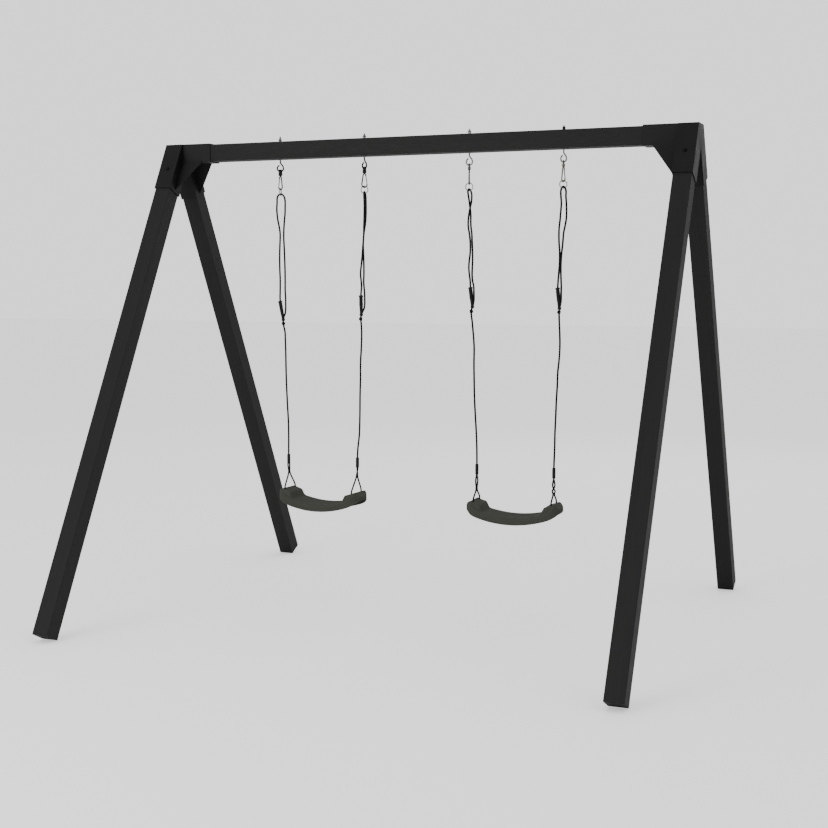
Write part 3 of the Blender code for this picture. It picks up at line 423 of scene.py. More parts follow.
def rope_material():
    """Black braided cord. Its map runs once round the cord, and along it in metres."""
    n = Nodes("rope_braid", 0.9, specular=0.10)
    split = n.add("ShaderNodeSeparateXYZ")
    n.feed(split.inputs["Vector"], n.place((1.0, 1.0, 1.0), "UV"))
    across = n.math("MULTIPLY", split.outputs["X"], 6.0)
    along = n.math("MULTIPLY", split.outputs["Y"], 190.0)
    one = n.math("ADD", across, along)
    two = n.math("SUBTRACT", along, across)
    ridge_one = n.math("SINE", n.math("MULTIPLY", n.math("FRACT", one), pi))
    ridge_two = n.math("SINE", n.math("MULTIPLY", n.math("FRACT", two), pi))
    cell = n.math("ADD", n.math("FLOOR", one), n.math("FLOOR", two))
    over = n.math("FRACT", n.math("MULTIPLY", cell, 0.5))
    over = n.math("GREATER_THAN", over, 0.25)
    yarn = n.math("ADD", n.math("MULTIPLY", ridge_one, over),
                  n.math("MULTIPLY", ridge_two, n.math("SUBTRACT", 1.0, over)))
    fuzz = n.noise(n.place((1.0, 1.0, 1.0)), 2600, 3, 0.7)
    # The yarns are painted darker towards the grooves between them and lighter on their crests: painted
    # shade in the grooves.
    tone = n.ramp(yarn, (0.0, (0.0008, 0.0008, 0.0009)), (0.9, (0.0045, 0.0045, 0.0048)))
    tone = n.mix(n.spread(fuzz, 0.0, 0.35, 0.5, 0.8), tone, (0.011, 0.011, 0.012, 1.0))
    normal = n.bump(yarn, 0.0007, 0.9)
    normal = n.bump(fuzz, 0.0002, 0.6, normal)
    return n.done(tone, normal, n.spread(yarn, 0.95, 0.72))


def plastic_material(name, low, high, rough, grain, specular=0.4):
    """Moulded plastic with a fine spark texture, and paler flecks that are painted sheen."""
    n = Nodes(name, rough, specular=specular)
    where = n.place((1.0, 1.0, 1.0))
    spark = n.cells(where, grain)
    cloud = n.noise(where, 14, 4, 0.6)
    fine = n.noise(where, grain * 0.8, 3, 0.6)
    color = n.mix(cloud, (*low, 1.0), (*high, 1.0))
    # Paler flecks where the fine noise is high: painted sheen in the colour.
    painted_sheen_tone = tuple(v * 1.5 for v in high)
    color = n.mix(n.spread(fine, 0.0, 0.35, 0.5, 0.75), color, (*painted_sheen_tone, 1.0))
    normal = n.bump(spark, 0.00016, 0.55)
    normal = n.bump(cloud, 0.0010, 0.10, normal)
    return n.done(color, normal, n.spread(fine, rough - 0.06, rough + 0.10, 0.3, 0.7))


# Mesh building


def new_object(name, data):
    obj = bpy.data.objects.new(name, data)
    bpy.context.scene.collection.objects.link(obj)
    return obj


def smooth(points, steps):
    """Points along a smooth curve through the given ones, steps to each stretch."""
    points = [Vector(p) for p in points]
    chord = [(b - a).length for a, b in zip(points, points[1:])]
    slope = [(b - a) / c for a, b, c in zip(points, points[1:], chord)]
    lean = [slope[0]]
    for i in range(1, len(slope)):
        total = chord[i - 1] + chord[i]
        lean.append((slope[i - 1] * chord[i] + slope[i] * chord[i - 1]) / total)
    lean.append(slope[-1])
    line = []
    for i, length in enumerate(chord):
        for k in range(steps):
            t = k / steps
            line.append(
                points[i] * (1 - t) ** 2 * (1 + 2 * t)
                + points[i + 1] * t * t * (3 - 2 * t)
                + lean[i] * length * t * (1 - t) ** 2
                - lean[i + 1] * length * t * t * (1 - t)
            )
    line.append(points[-1])
    return line


def length_of(line):
    return sum((b - a).length for a, b in zip(line, line[1:]))


def even(line, step):
    """The same line with its points spaced evenly, about a step apart."""
    total = length_of(line)
    count = max(2, round(total / step))
    places = [Vector(line[0])]
    done, i = 0.0, 0
    for k in range(1, count):
        want = total * k / count
        while done + (line[i + 1] - line[i]).length < want:
            done += (line[i + 1] - line[i]).length
            i += 1
        stretch = (line[i + 1] - line[i]).length
        places.append(line[i].lerp(line[i + 1], (want - done) / stretch))
    places.append(Vector(line[-1]))
    return places


def sweep(name, line, radius, sides=16, closed=False):
    """A round rod along the line, as one closed mesh, with a map that runs round it and along it.

    The radius is one number, or one for each point.
    """
    count = len(line)
    radii = radius if isinstance(radius, (list, tuple)) else [radius] * count
    ahead = []
    for i in range(count):
        before = line[i - 1] if i or closed else line[0]
        after = line[(i + 1) % count] if i + 1 < count or closed else line[-1]
        ahead.append((after - before).normalized())
    side = ahead[0].orthogonal().normalized()
    if abs(ahead[0].z) < 0.9:
        side = ahead[0].cross(Vector((0, 0, 1))).normalized()
    verts = []
    run = [0.0]
    for i in range(count):
        side = (side - ahead[i] * side.dot(ahead[i])).normalized()
        other = ahead[i].cross(side)
        for k in range(sides):
            a = 2 * pi * k / sides
            verts.append(line[i] + (side * cos(a) + other * sin(a)) * radii[i])
        run.append(run[-1] + (line[(i + 1) % count] - line[i]).length)
    faces, maps = [], []
    for i in range(count if closed else count - 1):
        for k in range(sides):
            j, m = (i + 1) % count, (k + 1) % sides
            faces.append((i * sides + k, i * sides + m, j * sides + m, j * sides + k))
            u, w = k / sides, (k + 1) / sides
            maps += [(u, run[i]), (w, run[i]), (w, run[i + 1]), (u, run[i + 1])]
    if not closed:
        faces += [tuple(reversed(range(sides))), tuple(range((count - 1) * sides, count * sides))]
        maps += [(0.0, 0.0)] * (2 * sides)
    mesh = bpy.data.meshes.new(name)
    mesh.from_pydata(verts, [], faces)
    layer = mesh.uv_layers.new(name="UVMap")
    for loop, place in zip(layer.data, maps):
        loop.uv = place
    return new_object(name, mesh)


def turned(name, profile, steps=32, matrix=Matrix.Identity(4)):
    """A solid of revolution about +Z. The profile runs from the top to the bottom at +X."""
    bm = bmesh.new()
    rings = []
    for r, z in profile:
        if r < 1e-7:
            rings.append([bm.verts.new((0, 0, z))])
        else:
            turn = [2 * pi * k / steps for k in range(steps)]
            rings.append([bm.verts.new((r * cos(a), r * sin(a), z)) for a in turn])
    for top, foot in zip(rings, rings[1:]):
        for k in range(steps):
            m = (k + 1) % steps
            corners = [top[k % len(top)], foot[k % len(foot)], foot[m % len(foot)], top[m % len(top)]]
            bm.faces.new(list(dict.fromkeys(corners)))
    bmesh.ops.recalc_face_normals(bm, faces=bm.faces)
    bm.transform(matrix)
    return from_bmesh(name, bm)


def rounded(r, z, ease, angles, up=1):
    """A profile's rounded corner at the radius and height, on its upper or its lower edge."""
    return [(r - ease + ease * sin(radians(a)), z + up * (ease * cos(radians(a)) - ease)) for a in angles]


def from_bmesh(name, bm):
    mesh = bpy.data.meshes.new(name)
    bm.to_mesh(mesh)
    bm.free()
    return new_object(name, mesh)


def block(name, low, high, bevel):
    """A box with rounded edges."""
    bm = bmesh.new()
    low, high = Vector(low), Vector(high)
    place = Matrix.Translation((low + high) / 2) @ Matrix.Diagonal((*(high - low), 1))
    bmesh.ops.create_cube(bm, size=1, matrix=place)
    bmesh.ops.bevel(bm, geom=bm.edges[:], offset=bevel, segments=3, profile=0.5, affect="EDGES")
    return from_bmesh(name, bm)


def prism(name, sides, radius, low, high, bevel):
    """An upright prism with its edges eased."""
    bm = bmesh.new()
    bmesh.ops.create_cone(
        bm, cap_ends=True, segments=sides, radius1=radius, radius2=radius, depth=high - low,
        matrix=Matrix.Translation((0, 0, (low + high) / 2)),
    )
    bmesh.ops.bevel(bm, geom=bm.edges[:], offset=bevel, segments=2, profile=0.5, affect="EDGES")
    return from_bmesh(name, bm)


def rod(start, end, radius, sides=24):
    """A straight cutter between two points."""
    line = [Vector(start), Vector(end)]
    return sweep("cutter", line, radius, sides)


def baked(obj):
    """Applies the object's modifiers to its mesh."""
    bpy.context.view_layer.update()
    graph = bpy.context.evaluated_depsgraph_get()
    mesh = bpy.data.meshes.new_from_object(obj.evaluated_get(graph))
    obj.modifiers.clear()
    obj.data = mesh
    return obj


def combine(obj, others, operation):
    for other in others:
        step = obj.modifiers.new("combine", "BOOLEAN")
        step.operation = operation
        step.solver = "EXACT"
        step.object = other
        baked(obj)
        bpy.data.objects.remove(other, do_unlink=True)
    return obj


def dressed(obj, mat, body, replaced=(), angle=35, flat=False):
    """Finishes a piece: its material, its shading, and the body and nodes that it stands for.

    A flat piece has large plane faces, which stay even in tone up to their rounded edges.
    """
    obj.data.materials.clear()
    obj.data.materials.append(mat)
    obj.data.shade_smooth()
    obj.data.set_sharp_from_angle(angle=radians(angle))
    if flat:
        even_tone = obj.modifiers.new("even_tone", "WEIGHTED_NORMAL")
        even_tone.keep_sharp = True
        even_tone.weight = 100
        baked(obj)
    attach(obj, body)
    if replaced:
        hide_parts(*replaced)
    return obj


# Camera


def make_camera():
    ahead = Vector((
        -sin(CAMERA_YAW) * cos(CAMERA_PITCH), cos(CAMERA_YAW) * cos(CAMERA_PITCH), sin(CAMERA_PITCH)
    ))
    level = Vector((cos(CAMERA_YAW), sin(CAMERA_YAW), 0))
    up = level.cross(ahead)
    right = level * cos(CAMERA_ROLL) + up * sin(CAMERA_ROLL)
    up = up * cos(CAMERA_ROLL) - level * sin(CAMERA_ROLL)
    data = bpy.data.cameras.new("camera")
    data.lens = LENS_MM
    data.sensor_width = 36
    data.clip_end = 200
    camera = new_object("camera", data)
    turn = Matrix((right, up, -ahead)).transposed().to_4x4()
    camera.matrix_world = Matrix.Translation(CAMERA_AT) @ turn
    bpy.context.scene.camera = camera


# Ropes


def strand_point(station, side):
    """A point on one strand of a pair, from the height, the middle, the half gap and the facing."""
    z, middle, gap, facing = station
    angle = radians(facing)
    return Vector((middle + side * gap * cos(angle), side * gap * sin(angle), z))


def rope_points(number):
    """One rope's route, from its tail in the adjuster to its ferrule, about the hook's axis."""
    loop = LOOPS[number]
    tail = [strand_point(s, -1) for s in reversed(loop)]
    standing = [strand_point(s, 1) for s in loop]
    return tail + [Vector((0, 0, LOOP_TOP))] + standing + [Vector(p) for p in RUNS[number]]


def rope_line(number, step=0.004):
    place = Vector((HOOK_X[number], 0, BEAM_TOP))
    return even([place + p for p in smooth(rope_points(number), 8)], step)


def knot(name, centre, size, mat, body, squeeze=1.0, turn=0.0):
    """An overhand knot, pulled tight: one cord wound three times round itself."""
    line = []
    for i in range(72):
        t = 2 * pi * i / 72
        x, y, z = sin(t) + 2 * sin(2 * t), cos(t) - 2 * cos(2 * t), -sin(3 * t)
        p = Matrix.Rotation(turn, 3, "Z") @ Vector((x, y, z * 1.5 * squeeze))
        line.append(Vector(centre) + p * size / 3)
    obj = sweep(name, line, ROPE * 0.40, 14, closed=True)
    return dressed(obj, mat, body)


def make_rope(number, mat, body):
    line = rope_line(number)
    obj = sweep(f"rope_{number + 1}_cord", list(reversed(line)), ROPE / 2, 14)
    dressed(obj, mat, body, [f"rope_{number + 1}"])


# Fittings on the ropes


def grip_profile(length):
    profile = [(0, 0)] + rounded(GRIP_COLLAR_R, 0, 0.0015, range(0, 91, 30))
    profile += [(GRIP_COLLAR_R, -0.0070), (GRIP_COLLAR_R - 0.001, -0.0080), (0.0088, -0.0100)]
    ribs, start, stop = 9, -0.0125, -0.0600
    pitch = (stop - start) / ribs
    for i in range(ribs):
        z = start + pitch * i
        profile += [
            (GRIP_R - 0.0006, z), (GRIP_R + 0.0006, z + pitch * 0.22),
            (GRIP_R + 0.0006, z + pitch * 0.58), (GRIP_R - 0.0006, z + pitch * 0.80),
        ]
    profile += [
        (GRIP_FOOT_R + 0.0008, -length * 0.72), (GRIP_FOOT_R, -length * 0.85),
        (GRIP_FOOT_R * 0.9, -length), (0, -length),
    ]
    return profile


def line_matrix(start, end):
    turn = (Vector(end) - Vector(start)).to_track_quat("Z", "Y").to_matrix().to_4x4()
    return Matrix.Translation(Vector(start)) @ turn


def make_adjuster(number, mat, body):
    place = Vector((HOOK_X[number], 0, BEAM_TOP))
    tail = place + strand_point(LOOPS[number][-1], -1)
    eye = place + Vector(RUNS[number][EYE_POINT])
    down = (eye - tail).normalized()
    top = tail - down * TAIL_DEEP
    name = f"adjuster_{number + 1}_grip"
    grip = turned(name, grip_profile((eye - top).length), 32, line_matrix(top, top * 2 - eye))
    lead = (place + Vector(RUNS[number][KNOT_POINT])) - (place + Vector(RUNS[number][EYE_POINT - 1]))
    lead.normalize()
    half, ease = EYE_HIGH / 2, 0.0016
    profile = [(0, half)] + rounded(EYE_R, half, ease, range(0, 91, 30))
    profile += rounded(EYE_R, -half, ease, range(90, -1, -30), -1) + [(0, -half)]
    ring = turned("eye", profile, 28, line_matrix(eye, eye - lead))
    line = rope_line(number)
    apex = max(range(len(line)), key=lambda i: line[i].z)
    near = [p for p in line[apex:] if eye.z - 0.02 < p.z < top.z + 0.02][::2]
    start = place + strand_point(LOOPS[number][-2], -1)
    bore = rod(tail + (tail - start).normalized() * FIT, start, ROPE_BORE_R)
    combine(grip, [ring], "UNION")
    combine(grip, [bore, sweep("cutter", near, ROPE_BORE_R, 20)], "DIFFERENCE")
    return dressed(grip, mat, body, [f"adjuster_{number + 1}"], 30)


def ferrule_place(number):
    return HOOK_X[number] + RUNS[number][-1][0]


def make_ferrule(number, mat, body):
    r, z0, z1 = FERRULE_R, FERRULE_TOP, FERRULE_FOOT
    profile = rounded(r, z0, r, range(0, 91, 10))
    waist = z0 - 0.016
    profile += [(r, waist + 0.001), (r - 0.0007, waist), (r - 0.0007, waist - 0.0012),
                (r, waist - 0.0022)]
    profile += [(r, z1 + 0.0125), (r - 0.0008, z1 + 0.0115), (r - 0.0008, z1 + 0.0100),
                (r, z1 + 0.0090)]
    profile += rounded(r, z1, 0.0015, range(90, -1, -30), -1) + [(0, z1)]
    x = ferrule_place(number)
    obj = turned(f"ferrule_{number + 1}_sleeve", profile, 32, Matrix.Translation((x, 0, 0)))
    return dressed(obj, mat, body, [f"ferrule_{number + 1}"], 30)


def seat_place(swing):
    return Matrix.Translation((SEAT_X[swing], 0, 0)) @ Matrix.Rotation(radians(SEAT_TURN[swing]), 4, "Z")


def make_strands(number, swing, mat, body):
    outer = -1 if number % 2 == 0 else 1
    place = seat_place(swing)
    start = Vector((ferrule_place(number), 0, 0))
    end = place @ Vector((outer * ROPE_HOLE[0], 0, 0))
    stations = STRANDS[number]
    top_z = stations[0][0]
    for name, side in (("front", 1), ("rear", -1)):
        points = []
        for z, gap, facing in stations:
            share = min(1.0, (top_z - z) / (top_z - HOLE_Z))
            turned_facing = facing + SEAT_TURN[swing] * share
            points.append(start.lerp(end, share) + strand_point((z, 0, gap, turned_facing), side))
        first = points[0]
        points[0] = first - Vector((0, 0, 0.004))
        line = even([first] + smooth(points, 8), 0.003)
        node = f"seat_strand_{number + 1}_{name}"
        under = place @ Vector((outer * ROPE_HOLE[0], -side * ROPE_HOLE[1], SEAT_KNOT_Z - 0.0015))
        tied = knot(f"{node}_knot", under, KNOT_SIZE, mat, body, 0.7, side)
        obj = sweep(f"{node}_cord", line, SEAT_CORD / 2, 14)
        dressed(obj, mat, body, [node])


# Hooks, swivels, snap hooks and rings


def hook_line(top):
    """The middle of a hook's wire: down the shank, then round the open curl."""
    neck = even([Vector((0, 0, top)), Vector((0, 0, HOOK_NECK))], 0.0006)
    curl = []
    for i in range(61):
        angle = radians(CURL_FROM + (CURL_TO - CURL_FROM) * i / 60)
        curl.append(Vector((CURL_R * cos(angle), 0, CURL_DROP + CURL_R * sin(angle))))
    bend = [Vector((CURL_R * across, 0, HOOK_NECK + down)) for across, down in HOOK_BEND]
    turn = smooth([Vector((0, 0, HOOK_NECK + 0.006)), neck[-1], *bend, curl[0], curl[2]], 4)
    return neck[:-1] + turn[4:-4] + curl


def make_hook(number, mat):
    top = HOOK_TOP[number]
    line = hook_line(top)
    tip = line[-1]
    radii = []
    for p in line:
        r = HOOK_WIRE / 2
        if p.z > -0.004:
            ridge = abs((p.z / THREAD_PITCH) % 1.0 - 0.5) * 2
            r -= THREAD_DEEP * ridge
            r -= max(0.0, 0.0018 - (top - p.z)) * 0.8
        radii.append(r)
    fall = (line[-1] - line[-2]).normalized()
    for i in range(1, 7):
        a = radians(15 * i)
        line.append(tip + fall * HOOK_WIRE / 2 * 0.75 * sin(a))
        radii.append(max(0.0004, HOOK_WIRE / 2 * cos(a)))
    place = Matrix.Translation((HOOK_X[number], 0, BEAM_TOP))
    place = place @ Matrix.Rotation(radians(HOOK_TURN[number]), 4, "Z")
    obj = sweep(f"swing_hook_{number + 1}_rod", [place @ p for p in line], radii, 20)
    return dressed(obj, mat, "frame", [f"swing_hook_{number + 1}"], 50)


def make_nut(number, mat):
    name = f"hook_nut_{number + 1}"
    bottom = BEAM_TOP + FIT
    at = Matrix.Translation((HOOK_X[number], 0, bottom))
    ease = 0.0004
    washer = [(0, WASHER_HIGH), (WASHER_R - ease, WASHER_HIGH), (WASHER_R, WASHER_HIGH - ease),
              (WASHER_R, ease), (WASHER_R - ease, 0), (0, 0)]
    obj = turned(f"{name}_top", washer, 40, at)
    if number == 3:
        cap = [(0, CAP_HIGH)] + rounded(CAP_R, CAP_HIGH, 0.0022, range(0, 91, 15))
        cap += [(CAP_R, 0.0040), (0.0074, 0.0034), (CAP_R, 0.0028), (CAP_R, 0.0014), (0, 0.0014)]
        combine(obj, [turned("cap", cap, 40, at)], "UNION")
    else:
        hexagon = prism("hex", 6, 0.0075, 0.0014, 0.0102, 0.0005)
        hexagon.data.transform(at @ Matrix.Rotation(radians(13 * number), 4, "Z"))
        lock = [(0, 0.0200), (0.0056, 0.0200), (0.0063, 0.0192), (0.0080, 0.0140), (0.0088, 0.0128),
                (0.0104, 0.0124), (0.0108, 0.0119), (0.0108, 0.0106), (0.0104, 0.0100), (0, 0.0100)]
        combine(obj, [hexagon, turned("lock", lock, 40, at)], "UNION")
    bore = rod(at @ Vector((0, 0, -0.01)), at @ Vector((0, 0, 0.04)), HOOK_WIRE / 2 + 0.0002)
    combine(obj, [bore], "DIFFERENCE")
    return dressed(obj, mat, "frame", [name])


def circle(centre, radius, turn, count):
    """Points round an upright circle whose level direction is at the turn, in degrees from +X."""
    place = Matrix.Translation(centre) @ Matrix.Rotation(radians(turn), 4, "Z")
    around = [2 * pi * i / count for i in range(count)]
    return [place @ Vector((radius * cos(a), 0, radius * sin(a))) for a in around]


def make_swivel(number, mat, body):
    x = HOOK_X[number]
    name = f"swivel_{number + 1}"
    centre = (x, 0, BEAM_TOP + PIVOT_DROP)
    radius = BARREL_R[number]
    cutters = []
    if number < 2:
        half, e = SLEEVE_LONG / 2, 0.0014
        outline = [(0, half), (SLEEVE_R - e, half), (SLEEVE_R - e * 0.3, half - e * 0.3),
                   (SLEEVE_R, half - e), (SLEEVE_R, e - half), (SLEEVE_R - e * 0.3, e * 0.3 - half),
                   (SLEEVE_R - e, -half), (0, -half)]
        along_wire = Matrix.Translation(centre) @ Matrix.Rotation(radians(90), 4, "Y")
        bow = turned("bow", outline, 40, along_wire)
        reach = Vector((SLEEVE_LONG, 0, 0))
        cutters.append(rod(Vector(centre) - reach, Vector(centre) + reach, SLEEVE_BORE_R, 40))
    else:
        bow = sweep("bow", circle(centre, BOW_R, 90, 48), BOW_WIRE / 2, 16, closed=True)
    top, foot = BEAM_TOP + BARREL_TOP, BEAM_TOP + BARREL_FOOT
    e = 0.0016
    profile = [(0, top)] + rounded(radius, top, e, range(0, 91, 18))
    groove = (top + foot) / 2
    profile += [(radius, groove + 0.0012), (radius - 0.0006, groove + 0.0005),
                (radius - 0.0006, groove - 0.0005), (radius, groove - 0.0012)]
    profile += rounded(radius, foot, e, range(90, -1, -18), -1) + [(0, foot)]
    obj = turned(f"{name}_body", profile, 40, Matrix.Translation((x, 0, 0)))
    combine(obj, [bow], "UNION")
    stem_top = (x, 0, foot + STEM_DEEP + 0.0005)
    cutters.append(rod((x, 0, foot - 0.01), stem_top, STEM_R + 0.0004))
    combine(obj, cutters, "DIFFERENCE")
    return dressed(obj, mat, body, [name])


def snap_shape():
    """Where the loop's straight side meets its top and its foot, on the gate's side."""
    lean = asin((SNAP_FOOT_R - SNAP_TOP_R) / (SNAP_TOP - SNAP_FOOT))
    out = Vector((cos(lean), 0, sin(lean)))
    top = Vector((0, 0, SNAP_TOP)) + out * SNAP_TOP_R
    foot = Vector((0, 0, SNAP_FOOT)) + out * SNAP_FOOT_R
    return top, foot, lean


def snap_place(number):
    turn = Matrix.Rotation(radians(SNAP_TURN[number]), 4, "Z")
    return Matrix.Translation((HOOK_X[number], 0, BEAM_TOP)) @ turn


def make_snap(number, mat, body):
    place = snap_place(number)
    top, foot, lean = snap_shape()
    hinge = top.lerp(foot, GATE_HINGE)
    line = []
    for i in range(33):
        a = lean + (-pi - 2 * lean) * i / 32
        line.append(Vector((SNAP_FOOT_R * cos(a), 0, SNAP_FOOT + SNAP_FOOT_R * sin(a))))
    for i in range(21):
        a = pi - lean - (pi - 2 * lean) * i / 20
        line.append(Vector((SNAP_TOP_R * cos(a), 0, SNAP_TOP + SNAP_TOP_R * sin(a))))
    reach = (hinge - top).length - GATE_WIRE / 2 - 0.0005
    line.append(top + (hinge - top).normalized() * reach)
    name = f"snap_hook_{number + 1}"
    obj = sweep(f"{name}_body", [place @ p for p in line], SNAP_WIRE / 2, 20)
    shoulder = BARREL_FOOT - 0.0006
    e = 0.0008
    profile = [(0, BARREL_FOOT + STEM_DEEP), (STEM_R - 0.0004, BARREL_FOOT + STEM_DEEP),
               (STEM_R, BARREL_FOOT + STEM_DEEP - 0.0004), (STEM_R, shoulder),
               (COLLAR_R - e, shoulder), (COLLAR_R, shoulder - e), (0.0052, COLLAR_FOOT + 0.0012),
               (0.0030, COLLAR_FOOT), (0, COLLAR_FOOT)]
    combine(obj, [turned("stem", profile, 24, place)], "UNION")
    return dressed(obj, mat, body, [name], 40)


def make_gate(number, mat, body):
    place = snap_place(number)
    top, foot, _ = snap_shape()
    hinge = place @ top.lerp(foot, GATE_HINGE)
    nose = place @ foot
    length = (nose - hinge).length - 0.0011
    r = GATE_WIRE / 2
    profile = rounded(r, r, r, range(0, 91, 15))
    profile += [(r, -0.0030), (r - 0.0004, -0.0034), (r - 0.0004, -0.0040), (r, -0.0044)]
    profile += [(r, -length + 0.0010), (r - 0.0010, -length), (0, -length)]
    name = f"snap_gate_{number + 1}"
    obj = turned(f"{name}_bar", profile, 24, line_matrix(hinge, hinge * 2 - nose))
    pin = place.to_3x3() @ Vector((0, 1, 0))
    combine(obj, [rod(hinge - pin * (r + 0.0005), hinge + pin * (r + 0.0005), 0.0011, 16)], "UNION")
    return dressed(obj, mat, body, [name])


def make_ring(number, mat, body):
    centre = (HOOK_X[number], 0, BEAM_TOP + RING_TOP - RING_R)
    line = circle(centre, RING_R, RING_TURN[number], 96)
    obj = sweep(f"ring_{number + 1}_wire", line, RING_WIRE / 2, 20, closed=True)
    return dressed(obj, mat, body, [f"ring_{number + 1}"])


# Seats


def ramp(value, start, end):
    t = max(0.0, min(1.0, (value - start) / (end - start)))
    return t * t * (3 - 2 * t)


def seat_height(x, y):
    """The height of the seat's upper face at a place from its middle."""
    rise = ramp(abs(x), *BLOCK_RISE) * (1 - 0.8 * ramp(abs(x), *BLOCK_FALL))
    rise *= 1 - 0.9 * ramp(abs(y), *BLOCK_SIDE)
    rib = max(1 - ramp(abs(y - at), GRIP_RIB_HALF * 0.45, GRIP_RIB_HALF) for at in GRIP_RIBS_Y)
    rib *= 1 - ramp(abs(x), GRIP_RIB_END - 0.006, GRIP_RIB_END)
    return SEAT_Z + SEAT_CURVE * x * x + BLOCK_HIGH * rise + GRIP_RIB_HIGH * rib


def round_share(value, half):
    return max(-1.0, min(1.0, value / half)) ** 9


def rim_steps(radius, count):
    """How far each ring of the rim goes out and down, or to what share of the way to its foot.

    Below the roll the skirt has two shallow grooves, and its foot is curled in a little.
    """
    angles = [pi / 2 * i / count for i in range(count + 1)]
    rolled = [(radius * (sin(b) - sin(a)), radius * (cos(a) - cos(b)), 0.0)
              for a, b in zip(angles, angles[1:])]
    skirt = []
    for share, deep in ((0.25, 0.0012), (0.33, 0.0012)):
        skirt += [(0.0002, 0.0, share), (-deep, 0.0, 0.10), (deep, 0.0, 0.11)]
    return rolled + skirt + [(0.0, 0.0, 0.70), (-0.0008, 0.0, 0.6), (-0.0018, 0.0, 1.0)]


def skirt_foot(x):
    """The height of the skirt's lower edge, which is rounded up towards the seat's ends."""
    reach = max(0.0, abs(x) - SKIRT_RISE_FROM) / (SEAT_HALF + SEAT_ROLL - SKIRT_RISE_FROM)
    rise = SKIRT_RISE * (1 - sqrt(1 - min(1.0, reach) ** 2))
    return SEAT_Z + SEAT_CURVE * x * x - SKIRT + rise


def make_seat(swing, node, mat, body):
    bm = bmesh.new()
    bmesh.ops.create_grid(bm, x_segments=120, y_segments=72, size=1)
    for v in bm.verts:
        u, w = v.co.x, v.co.y
        x = SEAT_HALF * u * (1 - SEAT_ROUND[0] * w ** 4)
        y = SEAT_DEEP * w * (1 - SEAT_ROUND[1] * u ** 4)
        v.co = (x, y, seat_height(x, y))
    for out, down, share in rim_steps(SEAT_ROLL, 7):
        rim = [e for e in bm.edges if e.is_boundary]
        grown = bmesh.ops.extrude_edge_only(bm, edges=rim)
        for v in (g for g in grown["geom"] if isinstance(g, bmesh.types.BMVert)):
            away = Vector((round_share(v.co.x, SEAT_HALF), round_share(v.co.y, SEAT_DEEP), 0))
            v.co += away.normalized() * out
            v.co.z += (skirt_foot(v.co.x) - v.co.z) * share - down
    bmesh.ops.recalc_face_normals(bm, faces=bm.faces)
    if sum(f.normal.z for f in bm.faces) < 0:
        bmesh.ops.reverse_faces(bm, faces=bm.faces)
    place = seat_place(swing)
    bm.transform(place)
    obj = from_bmesh(f"{node}_shell", bm)
    wall = obj.modifiers.new("wall", "SOLIDIFY")
    wall.thickness = SEAT_WALL
    wall.offset = -1
    baked(obj)
    holes = []
    for sx in (-1, 1):
        for sy in (-1, 1):
            hole = place @ Vector((sx * ROPE_HOLE[0], sy * ROPE_HOLE[1], HOLE_Z))
            reach = Vector((0, 0, 0.03))
            holes.append(rod(hole - reach, hole + reach, ROPE_HOLE_R))
    combine(obj, holes, "DIFFERENCE")
    return dressed(obj, mat, body, [node], 35)


# Timber, brackets and bolts


def leg_matrix(side, front):
    """Puts a leg's own frame in place: Y away from the ridge and -Z down the leg."""
    turn = Matrix.Rotation(LEG_SPLAY, 4, "X")
    flip = Matrix.Rotation(pi, 4, "Z") if front else Matrix.Identity(4)
    root = (side * LEG_X, 0, BEAM_TOP - TIMBER / 2)
    return Matrix.Translation(root) @ flip @ Matrix.Translation((0, LEG_ROOT_Y, 0)) @ turn


def leg_end():
    """How far down its own frame a leg reaches, which brings its outer edge to the ground."""
    drop = BEAM_TOP - TIMBER / 2 - (TIMBER / 2 - 0.001) * sin(LEG_SPLAY)
    return drop / cos(LEG_SPLAY) - LEG_SHY


def make_timber():
    half = TIMBER / 2
    beam = block("beam_timber", (-half, -half, -BEAM_HALF), (half, half, BEAM_HALF), TIMBER_EDGE)
    beam.matrix_world = (
        Matrix.Translation((0, 0, BEAM_TOP - half)) @ Matrix.Rotation(radians(90), 4, "Y")
    )
    dressed(beam, timber_material("timber_beam", 0.0), "frame", ["top_beam"], flat=True)
    for s, side in enumerate((-1, 1)):
        for f, front in enumerate((True, False)):
            node = f"leg_{'front' if front else 'rear'}_{'left' if side < 0 else 'right'}"
            leg = block(f"{node}_timber", (-half, -half, -leg_end()), (half, half, -LEG_START),
                        TIMBER_EDGE)
            leg.matrix_world = leg_matrix(side, front)
            stain = timber_material(f"timber_{node}", 1.7 + 2.3 * s + 4.1 * f)
            dressed(leg, stain, "frame", [node], flat=True)


def make_bracket(end, mat):
    node = f"corner_bracket_{end}"
    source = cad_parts[node]
    bm = bmesh.new()
    bm.from_mesh(source.data)
    bm.transform(source.matrix_world)
    bmesh.ops.remove_doubles(bm, verts=bm.verts, dist=1e-5)
    bmesh.ops.dissolve_limit(bm, angle_limit=radians(1), verts=bm.verts, edges=bm.edges)
    obj = from_bmesh(f"{node}_plates", bm)
    ease = obj.modifiers.new("ease", "BEVEL")
    ease.width = 0.0012
    ease.segments = 2
    ease.limit_method = "ANGLE"
    ease.angle_limit = radians(30)
    baked(obj)
    return dressed(obj, mat, "frame", [node], 50, flat=True)


def make_bolt(node, place, mat):
    r, dome = BOLT_HEAD_R, BOLT_HEAD_HIGH - BOLT_EDGE
    profile = [(r * sin(radians(a)), BOLT_EDGE + dome * cos(radians(a))) for a in range(0, 91, 10)]
    profile += [(r, FIT), (BOLT_R, FIT), (BOLT_R, 0.002 - BOLT_LONG), (BOLT_R - 0.002, -BOLT_LONG),
                (0, -BOLT_LONG)]
    obj = turned(f"{node}_head", profile, 36, place)
    return dressed(obj, mat, "frame", [node])


